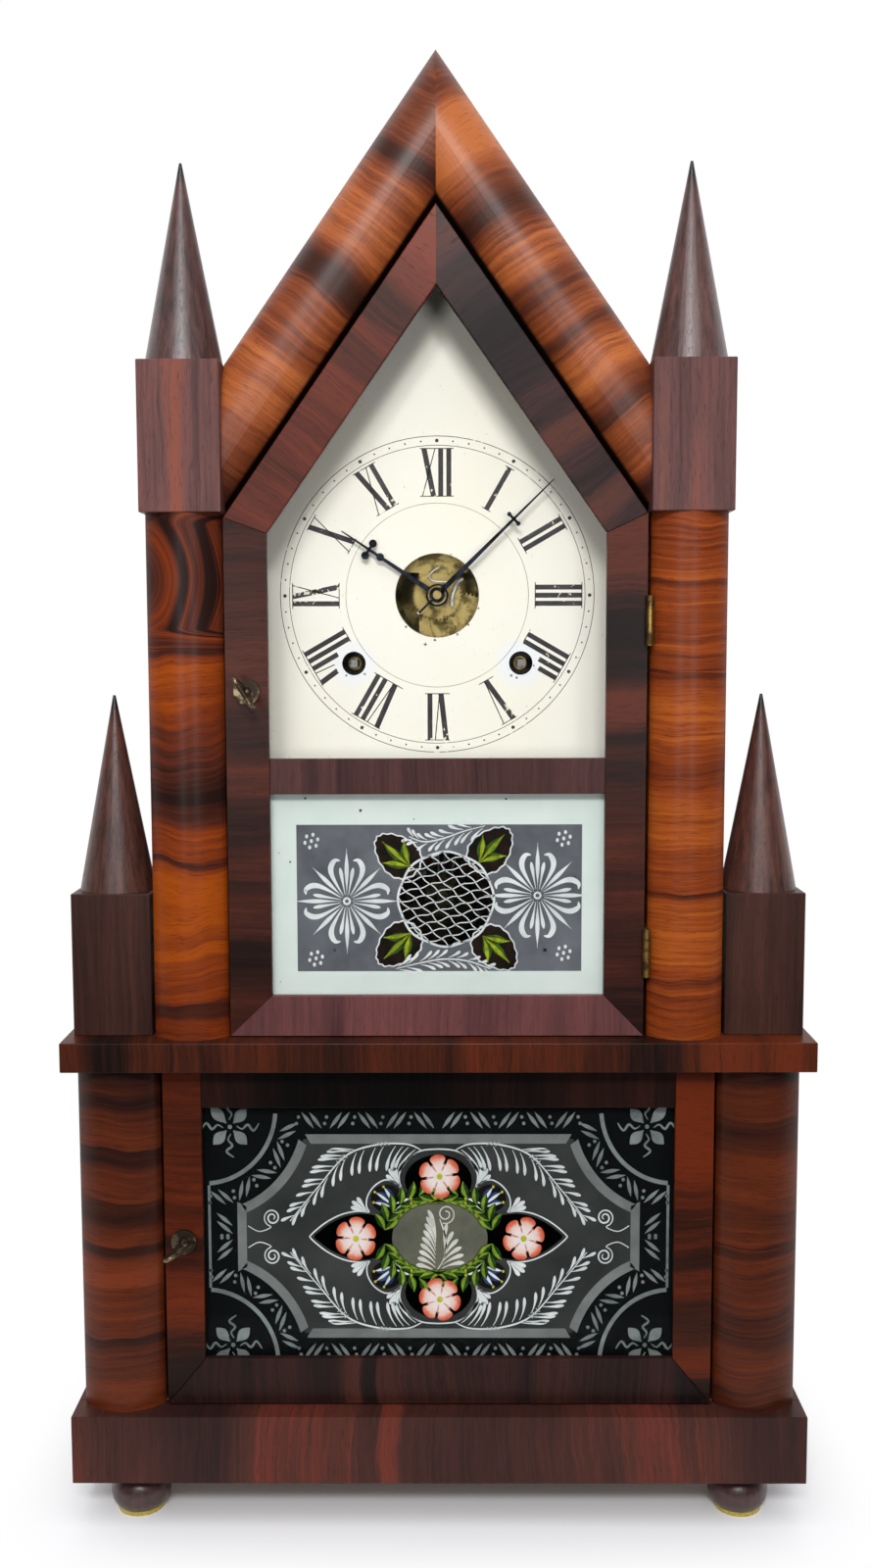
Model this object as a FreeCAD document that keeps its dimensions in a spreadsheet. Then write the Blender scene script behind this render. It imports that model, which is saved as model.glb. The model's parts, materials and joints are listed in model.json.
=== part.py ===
"""Double steeple mantel clock, modelled as it comes apart on a bench.

Millimetres. Origin at the middle of the footprint, on the floor; +Z up, the dial faces -Y and
+X is to the right of someone who looks at the dial. Depths are counted back from the front plane
of the plinth, heights up from the floor.
"""
import FreeCAD, Part
import math
import os
import re
from types import SimpleNamespace

V = FreeCAD.Vector

# Driving dimensions, one cell of the sheet each
SIZES = {
    # base
    "pad_thickness": 2.0, "pad_diameter": 22.0, "foot_height": 19.5, "foot_diameter": 28.0,
    "foot_inset_side": 27.7, "foot_inset_front": 20.0, "foot_neck_diameter": 19.0,
    "plinth_height": 32.0, "plinth_rail": 16.0, "base_thickness": 10.0, "foot_block_size": 36.0,
    # carcass
    "case_depth": 120.0, "lower_height": 161.5, "shelf_thickness": 13.5, "shelf_overhang": 1.0,
    "side_thickness": 10.0, "back_thickness": 6.0, "carcass_setback": 25.5, "side_inset": 3.2,
    # columns, blocks and steeples
    "column_setback": 4.5, "upper_column_height": 235.5, "upper_column_width": 34.2,
    "upper_column_radius": 20.0, "lower_column_width": 37.8, "lower_column_radius": 23.0,
    "column_inset": 3.6, "block_width": 36.0, "block_height": 65.5, "block_gap": 1.3,
    "block_inset": 3.5, "upper_block_setback": 4.0, "lower_block_setback": 13.6,
    "upper_steeple_height": 87.0, "lower_steeple_height": 89.5, "steeple_diameter": 34.6, "steeple_tip": 1.2,
    # roof
    "apex_rise": 199.6, "roof_half_angle": 35.13, "roof_thickness": 9.0, "moulding_width": 38.1,
    "moulding_radius": 20.5, "moulding_setback": 8.0,
    # doors
    "door_setback": 11.0, "door_thickness": 14.0, "door_gap": 0.7, "door_lift": 0.6,
    "hinge_gap": 1.8, "upper_opening_width": 150.4, "upper_stile": 19.1, "gable_rail": 19.7,
    "crossbar_height": 16.0, "crossbar_rise": 111.0, "upper_bottom_rail": 18.4,
    "lower_stile": 17.7, "lower_door_gap": 1.4, "lower_top_rail": 19.0, "lower_bottom_rail": 22.0,
    "glass_thickness": 2.0, "glass_lap": 5.0, "glass_setback": 3.5, "glass_room": 0.15,
    # hinges and pivots
    "leaf_thickness": 0.8, "leaf_height": 22.0, "leaf_depth": 10.0, "knuckle_radius": 1.8,
    "hinge_pin_radius": 0.8, "running_clearance": 0.05, "knuckle_slack": 0.15,
    "upper_hinge_rise": 177.0, "lower_hinge_rise": 28.0, "pivot_pin_radius": 0.9,
    "pivot_inset": 2.5, "pivot_reach": 8.0,
    # latches
    "latch_reach": 15.0, "latch_disc_diameter": 11.5, "latch_disc_thickness": 1.6,
    "latch_shaft_radius": 1.8, "bow_width": 17.0, "bow_wire": 2.0, "tongue_length": 15.0,
    "tongue_width": 5.0, "tongue_thickness": 1.6, "tongue_room": 0.6, "upper_latch_rise": 157.0,
    "lower_latch_rise": 79.0, "upper_bow_angle": -58.0, "lower_bow_angle": 30.0,
    # dial and hands
    "dial_rise": 200.5, "dial_thickness": 1.0, "dial_margin": 12.0,
    "dial_hole_diameter": 39.0, "winding_hole_diameter": 11.0, "winding_spread": 78.0,
    "winding_drop": 31.4, "dial_strip_width": 34.0, "dial_strip_depth": 12.0,
    "minute_reach": 75.0, "hour_reach": 53.0, "hand_thickness": 0.8, "hand_stem": 2.6, "hand_neck": 1.2,
    "hand_tip": 0.5, "hour_hand_lead": 4.0, "minute_hand_lead": 7.0, "cross_arm": 1.2,
    "hour_foil_place": 37.8, "hour_foil_spread": 3.3, "hour_foil_radius": 1.8, "hour_foil_drop": 6.2,
    "minute_foil_place": 49.4, "minute_foil_spread": 3.0, "minute_foil_radius": 1.0,
    "minute_pipe_wall": 0.8, "hour_pipe_wall": 1.0, "minute_collet_rim": 1.6, "hour_collet_rim": 2.2,
    "washer_radius": 4.3, "washer_thickness": 0.8, "nose_length": 2.8, "pin_tail": 12.4, "pin_point": 5.3,
    "pin_radius": 0.6,
    # movement
    "plate_width": 138.0, "plate_above": 60.0, "plate_below": 64.0, "plate_thickness": 2.0,
    "plate_lead": 7.0, "plate_spacing": 30.0, "plate_web": 17.0, "window_width": 18.0,
    "window_rise": 11.0, "pillar_diameter": 7.0, "pillar_inset": 6.0, "end_shake": 0.3,
    "arbor_radius": 1.1, "pivot_radius": 0.6, "wheel_thickness": 1.4, "pinion_length": 3.0,
    "wheel_room": 1.6, "spring_radius": 24.0, "spring_room": 0.3, "spring_width": 15.0,
    "winding_arbor_radius": 2.6, "winding_square": 3.6, "square_stand": 2.0, "escape_radius": 12.0,
    "verge_height": 21.2, "pallet_thickness": 3.0, "crutch_length": 44.0, "crutch_wire": 1.4,
    "crutch_room": 0.4, "lifting_circle": 9.0, "lifting_pin_radius": 0.7, "lifting_pin_length": 2.5,
    "fly_span": 16.0, "fly_depth": 8.0, "fly_thickness": 0.6,
    # pendulum, hammer and gong
    "pendulum_length": 211.0, "rod_radius": 0.9, "bob_diameter": 36.0, "bob_thickness": 9.0,
    "bob_rim": 0.8, "strip_width": 3.0, "strip_thickness": 0.4, "strip_length": 16.0,
    "pendulum_gap": 6.0, "post_radius": 3.0, "post_room": 0.2, "hammer_offset": 11.0,
    "hammer_rise": 14.0, "hammer_length": 90.0, "hammer_wire": 2.0, "hammer_head_diameter": 9.0,
    "hammer_head_length": 10.0, "hammer_gap": 2.0, "gong_radius": 31.0, "gong_wire": 2.5,
    "gong_pitch": 5.0, "gong_turns": 3, "gong_setback": 9.0, "gong_gap": 12.0,
    "gong_boss_radius": 7.0,
}

# Going and striking trains: teeth and modules that mesh
GREAT = SimpleNamespace(teeth=78, leaves=8, module=0.7)
SECOND = SimpleNamespace(teeth=64, leaves=8, module=0.6)
CENTRE = SimpleNamespace(teeth=80, leaves=8, module=0.45)
THIRD = SimpleNamespace(teeth=80, leaves=8, module=0.45)
PIN_WHEEL = SimpleNamespace(teeth=60, leaves=8, module=0.5)
WARNING = SimpleNamespace(teeth=48, leaves=8, module=0.5)
CANNON = SimpleNamespace(teeth=42, leaves=14, module=0.5)
HOUR = SimpleNamespace(teeth=40, leaves=10, module=0.56)
ESCAPE_TEETH = 39
LIFTING_PINS = 8

# Shape of a tooth: height and depth in modules, half widths at root and tip in half pitches
ADDENDUM, DEDENDUM = 0.75, 1.1
WHEEL_TOOTH, PINION_LEAF = (0.50, 0.20), (0.26, 0.16)
# Escape tooth: share of the radius and lean in tooth pitches
ESCAPE_TOOTH = ((0.84, -0.4), (1.0, 0.15), (1.0, 0.25), (0.84, 0.3))

# Proportions of turned and bent shapes
FOOT_BELLY, FOOT_SHOULDER = 0.38, 0.78
BOW_CORNER, BOW_SHOULDER, BOW_BOSS = 0.45, 0.35, 1.25
PIN_TAPER = 0.7
LENS_PLACE, LENS_HEIGHT = 0.62, 0.7

doc = FreeCAD.newDocument("steeple_clock")
sheet = doc.addObject("Spreadsheet::Sheet", "Sizes")
for row, (alias, number) in enumerate(SIZES.items(), start=1):
    sheet.set(f"A{row}", alias)
    sheet.set(f"B{row}", str(number))
    sheet.setAlias(f"B{row}", alias)
doc.recompute()
s = SimpleNamespace(**{alias: sheet.get(alias) for alias in SIZES})

# Heights of the horizontal joints between the storeys
z_plinth = s.pad_thickness + s.foot_height
z_lower = z_plinth + s.plinth_height
z_shelf = z_lower + s.lower_height
z_upper = z_shelf + s.shelf_thickness
z_block = z_upper + s.upper_column_height
z_apex = z_block + s.apex_rise
z_dial = z_upper + s.dial_rise

# Half widths, worked out from the upper door towards the plinth's ends
opening_half = s.upper_opening_width / 2
door_half = opening_half + s.upper_stile
column_inner = door_half + s.door_gap
column_outer = column_inner + s.upper_column_width
shelf_half = column_outer + s.block_gap + s.block_width + s.block_inset
plinth_half = shelf_half - s.shelf_overhang
lower_outer = plinth_half - s.column_inset
lower_inner = lower_outer - s.lower_column_width
lower_door_half = lower_inner - s.lower_door_gap
lower_opening_half = lower_door_half - s.lower_stile

# Depths of the main planes
y_front = -(s.case_depth + s.door_setback - s.latch_reach) / 2
y_back = y_front + s.case_depth
y_board = y_back - s.back_thickness
y_carcass = y_front + s.carcass_setback
y_door = y_front + s.door_setback
y_glass = y_door + s.glass_setback

# The movement stands on the back board, so its planes are counted forward from there
y_gong = y_board - s.gong_setback
y_rod = y_gong - s.gong_gap
y_behind = y_rod - s.pendulum_gap
y_rear_plate = y_behind - s.plate_thickness
y_between = y_rear_plate - s.plate_spacing
y_plate = y_between - s.plate_thickness
y_dial = y_plate - s.plate_lead - s.dial_thickness

# The roof's slope: x = (apex - z) * roof_tan
roof_tan = math.tan(math.radians(s.roof_half_angle))
roof_sin = math.sin(math.radians(s.roof_half_angle))


def apex_inside(distance):
    """Height of the gable's apex after moving in from the roof's outer face by a distance."""
    return z_apex - distance / roof_sin


def slope_height(apex, half_width):
    """Height at which a gable line from an apex reaches a half width."""
    return apex - half_width / roof_tan


# Small tools that make document objects

def sized(expression):
    """Write a size expression in the sheet's own names."""
    return re.sub(r"[a-z_]+", lambda word: "Sizes." + word.group(), expression)


def placed(obj, x=0, y=0, z=0, rotation=None):
    obj.Placement = FreeCAD.Placement(V(x, y, z), rotation or FreeCAD.Rotation())
    return obj


def board(label, size, corner):
    """A plain board: three size expressions and its lowest corner."""
    box = doc.addObject("Part::Box", label)
    for side, expression in zip(("Length", "Width", "Height"), size):
        box.setExpression(side, sized(expression))
    return placed(box, *corner)


def rod(label, radius, length, base, along):
    """A cylinder from its base point, along a direction."""
    cylinder = doc.addObject("Part::Cylinder", label)
    cylinder.setExpression("Radius", sized(radius))
    cylinder.setExpression("Height", sized(length))
    return placed(cylinder, *base, FreeCAD.Rotation(V(0, 0, 1), V(*along)))


def outline(points):
    """Closed run of straight lines through flat points."""
    corners = [V(x, y, 0) for x, y in points]
    return [Part.LineSegment(a, b) for a, b in zip(corners, corners[1:] + corners[:1])]


def circle(x, y, radius):
    return Part.Circle(V(x, y, 0), V(0, 0, 1), radius)


def sketched(label, plane, geometry):
    """A body with one sketch on one of its own origin planes."""
    body = doc.addObject("PartDesign::Body", label)
    sketch = body.newObject("Sketcher::SketchObject", label + "_outline")
    support = [f for f in body.Origin.OriginFeatures if f.Role == plane]
    sketch.AttachmentSupport = [(support[0], "")]
    sketch.MapMode = "FlatFace"
    sketch.addGeometry(geometry, False)
    return body, sketch


def padded(label, plane, geometry, length, base=(0, 0, 0)):
    """A flat outline given a thickness: upwards on XY_Plane, backwards on XZ_Plane."""
    body, sketch = sketched(label, plane, geometry)
    pad = body.newObject("PartDesign::Pad", label + "_pad")
    pad.Profile = sketch
    pad.setExpression("Length", sized(length))
    pad.Reversed = plane == "XZ_Plane"
    return placed(body, *base)


def turned(label, geometry, base, along=(0, 0, 1)):
    """A half outline (radius, height) turned about its upright axis."""
    body, sketch = sketched(label, "XZ_Plane", geometry)
    turn = body.newObject("PartDesign::Revolution", label + "_turning")
    turn.Profile = sketch
    turn.ReferenceAxis = (sketch, ["V_Axis"])
    turn.Angle = 360
    return placed(body, *base, FreeCAD.Rotation(V(0, 0, 1), V(*along)))


def formed(label, shape, base=(0, 0, 0)):
    """A piece whose shape is built directly, such as a toothed wheel."""
    feature = doc.addObject("Part::Feature", label)
    feature.Shape = shape
    return placed(feature, *base)


def cut(label, piece, *tools):
    """The piece with every tool's space taken out of it."""
    for number, tool in enumerate(tools, start=1):
        step = doc.addObject("Part::Cut", label if number == len(tools) else f"{label}_{number}")
        step.Base, step.Tool = piece, tool
        piece = step
    return piece


def shared(label, first, second):
    common = doc.addObject("Part::Common", label)
    common.Base, common.Tool = first, second
    return common


def joined(label, *pieces):
    fusion = doc.addObject("Part::MultiFuse", label)
    fusion.Shapes = list(pieces)
    return fusion


def mirrored(piece):
    mirror = doc.addObject("Part::Mirroring", piece.Label + "_mirror")
    mirror.Source = piece
    mirror.Normal = V(1, 0, 0)
    return mirror


nodes = {}


def node(label, *pieces):
    """Register a sub-part: one piece, or a group of separate pieces of one kind."""
    if len(pieces) == 1:
        nodes[label] = pieces[0]
        return
    group = doc.addObject("Part::Compound", label)
    group.Links = list(pieces)
    nodes[label] = group


def pair(label, right_piece):
    """A sub-part that is made twice, mirrored about the clock's middle."""
    node(label, right_piece, mirrored(right_piece))


# Base: feet, plinth and base board

def at_feet():
    x = plinth_half - s.foot_inset_side
    for side in (-x, x):
        for y in (y_front + s.foot_inset_front, y_back - s.foot_inset_front):
            yield side, y


def felt_pads():
    node("felt_pads", *[rod("felt_pad", "pad_diameter / 2", "pad_thickness", (x, y, 0), (0, 0, 1))
                        for x, y in at_feet()])


def bun_feet():
    """Turned feet, fullest a little below half height, with a straight neck under the plinth."""
    radius, neck, high = s.foot_diameter / 2, s.foot_neck_diameter / 2, s.foot_height
    belly_top, sole = high * FOOT_SHOULDER, s.pad_diameter / 2
    points = [V(0, 0, 0), V(sole, 0, 0), V(neck, belly_top, 0), V(neck, high, 0), V(0, high, 0)]
    profile = [Part.LineSegment(points[0], points[1]),
               Part.Arc(points[1], V(radius, high * FOOT_BELLY, 0), points[2]),
               Part.LineSegment(points[2], points[3]), Part.LineSegment(points[3], points[4]),
               Part.LineSegment(points[4], points[0])]
    node("bun_feet", *[turned("bun_foot", profile, (x, y, s.pad_thickness)) for x, y in at_feet()])


def plinth():
    """Front rail across the end rails, a back rail, a base board and corner blocks for the feet."""
    inner, rail = plinth_half - s.plinth_rail, s.plinth_rail
    span = f"{2 * plinth_half} - 2 * plinth_rail"
    x_pivot = lower_door_half - s.pivot_inset
    hole = rod("plinth_pivot_hole", "pivot_pin_radius", "pivot_reach",
               (x_pivot, y_door + s.pivot_inset, z_lower - s.pivot_reach), (0, 0, 1))
    front = board("plinth_front_rail", (f"{2 * plinth_half}", "plinth_rail", "plinth_height"),
                  (-plinth_half, y_front, z_plinth))
    node("plinth_front", cut("plinth_front", front, hole))
    end = board("plinth_end", ("plinth_rail", "case_depth - plinth_rail", "plinth_height"),
                (inner, y_front + rail, z_plinth))
    back = board("plinth_back_rail", (span, "plinth_rail", "plinth_height"),
                 (-inner, y_back - rail, z_plinth))
    node("plinth_returns", end, mirrored(end), back)
    floor = board("base_plank", (span, "case_depth - 2 * plinth_rail", "base_thickness"),
                  (-inner, y_front + rail, z_lower - s.base_thickness))
    size = ("foot_block_size", "foot_block_size", "plinth_height - base_thickness")
    front_block = board("foot_block", size, (inner - s.foot_block_size, y_front + rail, z_plinth))
    rear_block = board("foot_block", size,
                       (inner - s.foot_block_size, y_back - rail - s.foot_block_size, z_plinth))
    node("base_board", floor, front_block, mirrored(front_block), rear_block, mirrored(rear_block))


# Carcass: sides, backs and shelf

def lower_carcass():
    outer = lower_outer - s.side_inset
    depth = "case_depth - carcass_setback - back_thickness"
    side = board("lower_side", ("side_thickness", depth, "lower_height"),
                 (outer - s.side_thickness, y_carcass, z_lower))
    pair("lower_sides", side)
    node("lower_back_board", board("lower_back_board", (f"{2 * outer}", "back_thickness", "lower_height"),
                                   (-outer, y_board, z_lower)))
    x_pivot = lower_door_half - s.pivot_inset
    hole = rod("shelf_pivot_hole", "pivot_pin_radius", "pivot_reach",
               (x_pivot, y_door + s.pivot_inset, z_shelf), (0, 0, 1))
    plank = board("shelf_plank", (f"{2 * shelf_half}", "case_depth", "shelf_thickness"),
                  (-shelf_half, y_front, z_shelf))
    node("shelf", cut("shelf", plank, hole))


def upper_block_space():
    """The room that a finial block takes at the front corner of the roof."""
    middle = column_inner + s.upper_column_width / 2
    return board("block_space", ("block_width", "block_width", "block_height"),
                 (middle - s.block_width / 2, y_front + s.upper_block_setback, z_block))


def upper_carcass():
    """Side boards with bevelled tops, roof boards mitred at the ridge, and a house-shaped back."""
    outer = column_outer - s.side_inset
    inner = outer - s.side_thickness
    under = apex_inside(s.roof_thickness)
    side = padded("upper_side_plank", "XZ_Plane", outline(
        [(inner, z_upper), (outer, z_upper), (outer, slope_height(under, outer)),
         (inner, slope_height(under, inner))]),
        "case_depth - carcass_setback - back_thickness", (0, y_carcass, 0))
    pair("upper_sides", cut("upper_side", side, upper_block_space()))
    eave = column_outer
    roof = padded("roof_plank", "XZ_Plane", outline(
        [(0, z_apex), (eave, slope_height(z_apex, eave)), (eave, slope_height(under, eave)), (0, under)]),
        "case_depth - carcass_setback - back_thickness", (0, y_carcass, 0))
    pair("roof_boards", cut("roof_board", roof, upper_block_space()))
    lip = slope_height(z_apex, outer)
    back = outline([(-outer, z_upper), (outer, z_upper), (outer, lip), (0, z_apex), (-outer, lip)])
    node("upper_back_board",
         padded("upper_back_board", "XZ_Plane", back, "back_thickness", (0, y_board, 0)))


# Columns, blocks, steeples and gable mouldings

def half_round(middle, width, radius):
    """Plan of a column: flat back on the carcass, straight flanks, rounded front."""
    crown = y_front + s.column_setback
    flank = crown + radius - math.sqrt(radius ** 2 - (width / 2) ** 2)
    left, right = middle - width / 2, middle + width / 2
    corners = [V(left, flank, 0), V(left, y_carcass, 0), V(right, y_carcass, 0), V(right, flank, 0)]
    sides = [Part.LineSegment(a, b) for a, b in zip(corners, corners[1:])]
    return sides + [Part.Arc(corners[3], V(middle, crown, 0), corners[0])]


def columns():
    upper = half_round(column_inner + s.upper_column_width / 2, s.upper_column_width, s.upper_column_radius)
    pair("upper_columns", padded("upper_column", "XY_Plane", upper, "upper_column_height", (0, 0, z_upper)))
    lower = half_round(lower_inner + s.lower_column_width / 2, s.lower_column_width, s.lower_column_radius)
    pair("lower_columns", padded("lower_column", "XY_Plane", lower, "lower_height", (0, 0, z_lower)))


def steeple(level, x, y, z):
    cone = doc.addObject("Part::Cone", f"{level}_steeple")
    cone.setExpression("Radius1", sized("steeple_diameter / 2"))
    cone.setExpression("Radius2", sized("steeple_tip / 2"))
    cone.setExpression("Height", sized(f"{level}_steeple_height"))
    return placed(cone, x, y, z)


def blocks_and_steeples():
    half = s.block_width / 2
    x_upper, y_upper = column_inner + s.upper_column_width / 2, y_front + s.upper_block_setback
    x_lower, y_lower = shelf_half - s.block_inset - half, y_front + s.lower_block_setback
    pair("upper_blocks", upper_block_space())
    pair("upper_steeples", steeple("upper", x_upper, y_upper + half, z_block + s.block_height))
    pair("lower_blocks", board("lower_block", ("block_width", "block_width", "block_height"),
                               (x_lower - half, y_lower, z_upper)))
    pair("lower_steeples", steeple("lower", x_lower, y_lower + half, z_upper + s.block_height))


def gable_mouldings():
    """Half-round mouldings down the gable, mitred at the apex and butted on the blocks."""
    end = column_inner + (s.upper_column_width - s.block_width) / 2
    low = apex_inside(s.moulding_width)
    band = padded("moulding_band", "XZ_Plane", outline(
        [(0, z_apex), (end, slope_height(z_apex, end)), (end, slope_height(low, end)), (0, low)]),
        "carcass_setback - moulding_setback", (0, y_front + s.moulding_setback, 0))
    run = s.apex_rise / (1 - roof_sin)
    middle = apex_inside(s.moulding_width / 2)
    down = V(roof_sin, 0, -roof_sin / roof_tan)
    start = V(0, y_front + s.moulding_setback + s.moulding_radius, middle) - down * (run / 2)
    barrel = rod("moulding_barrel", "moulding_radius", f"{2 * run}", start, down)
    pair("gable_mouldings", shared("gable_moulding", band, barrel))


# Upper door: frame, glass and tablet

def upper_door():
    gable = apex_inside(s.moulding_width) - s.door_gap / roof_sin
    inner_apex = gable - s.gable_rail / roof_sin
    bottom = z_upper + s.door_lift
    rail_top = bottom + s.upper_bottom_rail
    bar_low, bar_top = z_upper + s.crossbar_rise, z_upper + s.crossbar_rise + s.crossbar_height
    right = column_inner - s.hinge_gap
    thick, y = "door_thickness", (0, y_door, 0)

    lap = s.glass_lap
    glass_apex = inner_apex + lap / roof_sin
    shoulder = slope_height(glass_apex, opening_half + lap)
    lights = {
        "dial_glass": [(-opening_half - lap, bar_top - lap), (opening_half + lap, bar_top - lap),
                       (opening_half + lap, shoulder), (0, glass_apex), (-opening_half - lap, shoulder)],
        "upper_tablet": [(-opening_half - lap, rail_top - lap), (opening_half + lap, rail_top - lap),
                         (opening_half + lap, bar_low + lap), (-opening_half - lap, bar_low + lap)],
    }
    depth = "door_thickness - glass_setback"
    rebates = [padded(name + "_rebate", "XZ_Plane", outline(points), depth, (0, y_glass, 0))
               for name, points in lights.items()]
    room = s.glass_room
    for name, points in lights.items():
        middle = sum(z for x, z in points) / len(points)
        fitted = [(x - math.copysign(room, x) if x else 0, z - math.copysign(room, z - middle)
                   * (1 if x else 2)) for x, z in points]
        node(name, padded(name, "XZ_Plane", outline(fitted), "glass_thickness", (0, y_glass, 0)))

    def frame_piece(label, points, *extra):
        return cut(label, padded(label + "_blank", "XZ_Plane", outline(points), thick, y), *rebates, *extra)

    hole = rod("upper_latch_hole", "latch_shaft_radius + running_clearance", thick,
               (-(opening_half + s.upper_stile / 2), y_door, z_upper + s.upper_latch_rise), (0, 1, 0))
    inner_shoulder = slope_height(inner_apex, opening_half)
    left_stile = frame_piece("upper_left_stile", [
        (-door_half, bottom), (-opening_half, rail_top), (-opening_half, inner_shoulder),
        (-door_half, slope_height(gable, door_half))], hole)
    right_stile = frame_piece("upper_right_stile", [
        (opening_half, rail_top), (right, bottom), (right, slope_height(gable, right)),
        (opening_half, inner_shoulder)])
    node("upper_door_stiles", left_stile, right_stile)
    sloped = [frame_piece(f"upper_gable_rail_{index}", [
        (0, inner_apex), (0, gable), (edge, slope_height(gable, abs(edge))),
        (math.copysign(opening_half, edge), inner_shoulder)])
        for index, edge in enumerate((-door_half, right))]
    node("upper_door_gable_rails", *sloped)
    node("upper_door_crossbar", frame_piece("upper_door_crossbar", [
        (-opening_half, bar_low), (opening_half, bar_low), (opening_half, bar_top),
        (-opening_half, bar_top)]))
    node("upper_door_bottom_rail", frame_piece("upper_door_bottom_rail", [
        (-door_half, bottom), (right, bottom), (opening_half, rail_top), (-opening_half, rail_top)]))


# Lower door: stiles that run to the top rail, bottom corners mitred, and a painted tablet

def lower_door():
    half, opening = lower_door_half, lower_opening_half
    bottom, top = z_lower + s.door_lift, z_shelf - s.door_lift
    rail_top, rail_low = bottom + s.lower_bottom_rail, top - s.lower_top_rail
    thick, y, lap = "door_thickness", (0, y_door, 0), s.glass_lap
    light = [(-opening - lap, rail_top - lap), (opening + lap, rail_top - lap),
             (opening + lap, rail_low + lap), (-opening - lap, rail_low + lap)]
    rebate = padded("lower_tablet_rebate", "XZ_Plane", outline(light), "door_thickness - glass_setback",
                    (0, y_glass, 0))
    middle = (rail_top + rail_low) / 2
    fitted = [(x - math.copysign(s.glass_room, x), z - math.copysign(s.glass_room, z - middle))
              for x, z in light]
    node("lower_tablet", padded("lower_tablet", "XZ_Plane", outline(fitted), "glass_thickness",
                                (0, y_glass, 0)))

    x_pin, y_pin = half - s.pivot_inset, y_door + s.pivot_inset
    reach = s.pivot_reach
    holes = [rod("lower_pivot_hole", "pivot_pin_radius + running_clearance", "pivot_reach",
                 (x_pin, y_pin, z), (0, 0, 1)) for z in (bottom, top - reach)]
    latch_hole = rod("lower_latch_hole", "latch_shaft_radius + running_clearance", thick,
                     (-(opening + s.lower_stile / 2), y_door, z_lower + s.lower_latch_rise), (0, 1, 0))

    def frame_piece(label, points, *extra):
        return cut(label, padded(label + "_blank", "XZ_Plane", outline(points), thick, y), rebate, *extra)

    left = frame_piece("lower_left_stile", [(-half, bottom), (-opening, rail_top), (-opening, top),
                                            (-half, top)], latch_hole)
    right = frame_piece("lower_right_stile", [(opening, rail_top), (half, bottom), (half, top),
                                              (opening, top)], *holes)
    node("lower_door_stiles", left, right)
    node("lower_door_top_rail", frame_piece("lower_door_top_rail", [
        (-opening, rail_low), (opening, rail_low), (opening, top), (-opening, top)]))
    node("lower_door_bottom_rail", frame_piece("lower_door_bottom_rail", [
        (-half, bottom), (half, bottom), (opening, rail_top), (-opening, rail_top)], holes[0]))
    pin_length = f"2 * pivot_reach - {s.door_lift}"
    low = rod("lower_pivot", "pivot_pin_radius", pin_length, (x_pin, y_pin, z_lower - reach), (0, 0, 1))
    high = rod("upper_pivot", "pivot_pin_radius", pin_length,
               (x_pin, y_pin, z_shelf - reach + s.door_lift), (0, 0, 1))
    node("lower_door_pivots", low, high)


# Hinges of the upper door: two leaves, interleaved knuckles and a loose pin each

KNUCKLES = 5


def hinge_heights():
    return (z_upper + s.lower_hinge_rise, z_upper + s.upper_hinge_rise)


def hinge_axis():
    return column_inner - s.hinge_gap / 2, y_door - s.knuckle_radius - s.knuckle_slack


def hinge_leaf(label, x_low, y_end, own, z_low):
    """One leaf: a plate beside the door's edge and every second knuckle, bored for the pin."""
    x_axis, y_axis = hinge_axis()
    step = s.leaf_height / KNUCKLES
    plate_front = y_axis + s.knuckle_radius + s.knuckle_slack
    pieces = [Part.makeBox(s.leaf_thickness, y_end - plate_front, s.leaf_height,
                           V(x_low, plate_front, z_low))]
    for index in own:
        z = z_low + index * step + s.knuckle_slack / 2
        tall = step - s.knuckle_slack
        pieces.append(Part.makeCylinder(s.knuckle_radius, tall, V(x_axis, y_axis, z)))
        pieces.append(Part.makeBox(s.leaf_thickness, plate_front - y_axis, tall, V(x_low, y_axis, z)))
    bore = Part.makeCylinder(s.hinge_pin_radius + s.running_clearance, s.leaf_height,
                             V(x_axis, y_axis, z_low))
    return formed(label, pieces[0].multiFuse(pieces[1:]).cut(bore).removeSplitter())


def hinges():
    x_axis, y_axis = hinge_axis()
    x_case, x_door = column_inner - s.leaf_thickness, column_inner - s.hinge_gap
    crown = y_front + s.column_setback
    radius, half = s.upper_column_radius, s.upper_column_width / 2
    flank = crown + radius - math.sqrt(radius ** 2 - half ** 2)
    heights = hinge_heights()
    case = [hinge_leaf("hinge_case_leaf", x_case, flank + s.leaf_depth, range(0, KNUCKLES, 2), z)
            for z in heights]
    door = [hinge_leaf("hinge_door_leaf", x_door, y_door + s.leaf_depth, range(1, KNUCKLES, 2), z)
            for z in heights]
    pins = [rod("hinge_pin", "hinge_pin_radius", "leaf_height", (x_axis, y_axis, z), (0, 0, 1))
            for z in heights]
    node("hinge_case_leaves", *case, *pins)
    node("hinge_door_leaves", *door)


# Turn latches: rosette and wire bow outside, shaft through the stile, tongue inside

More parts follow.
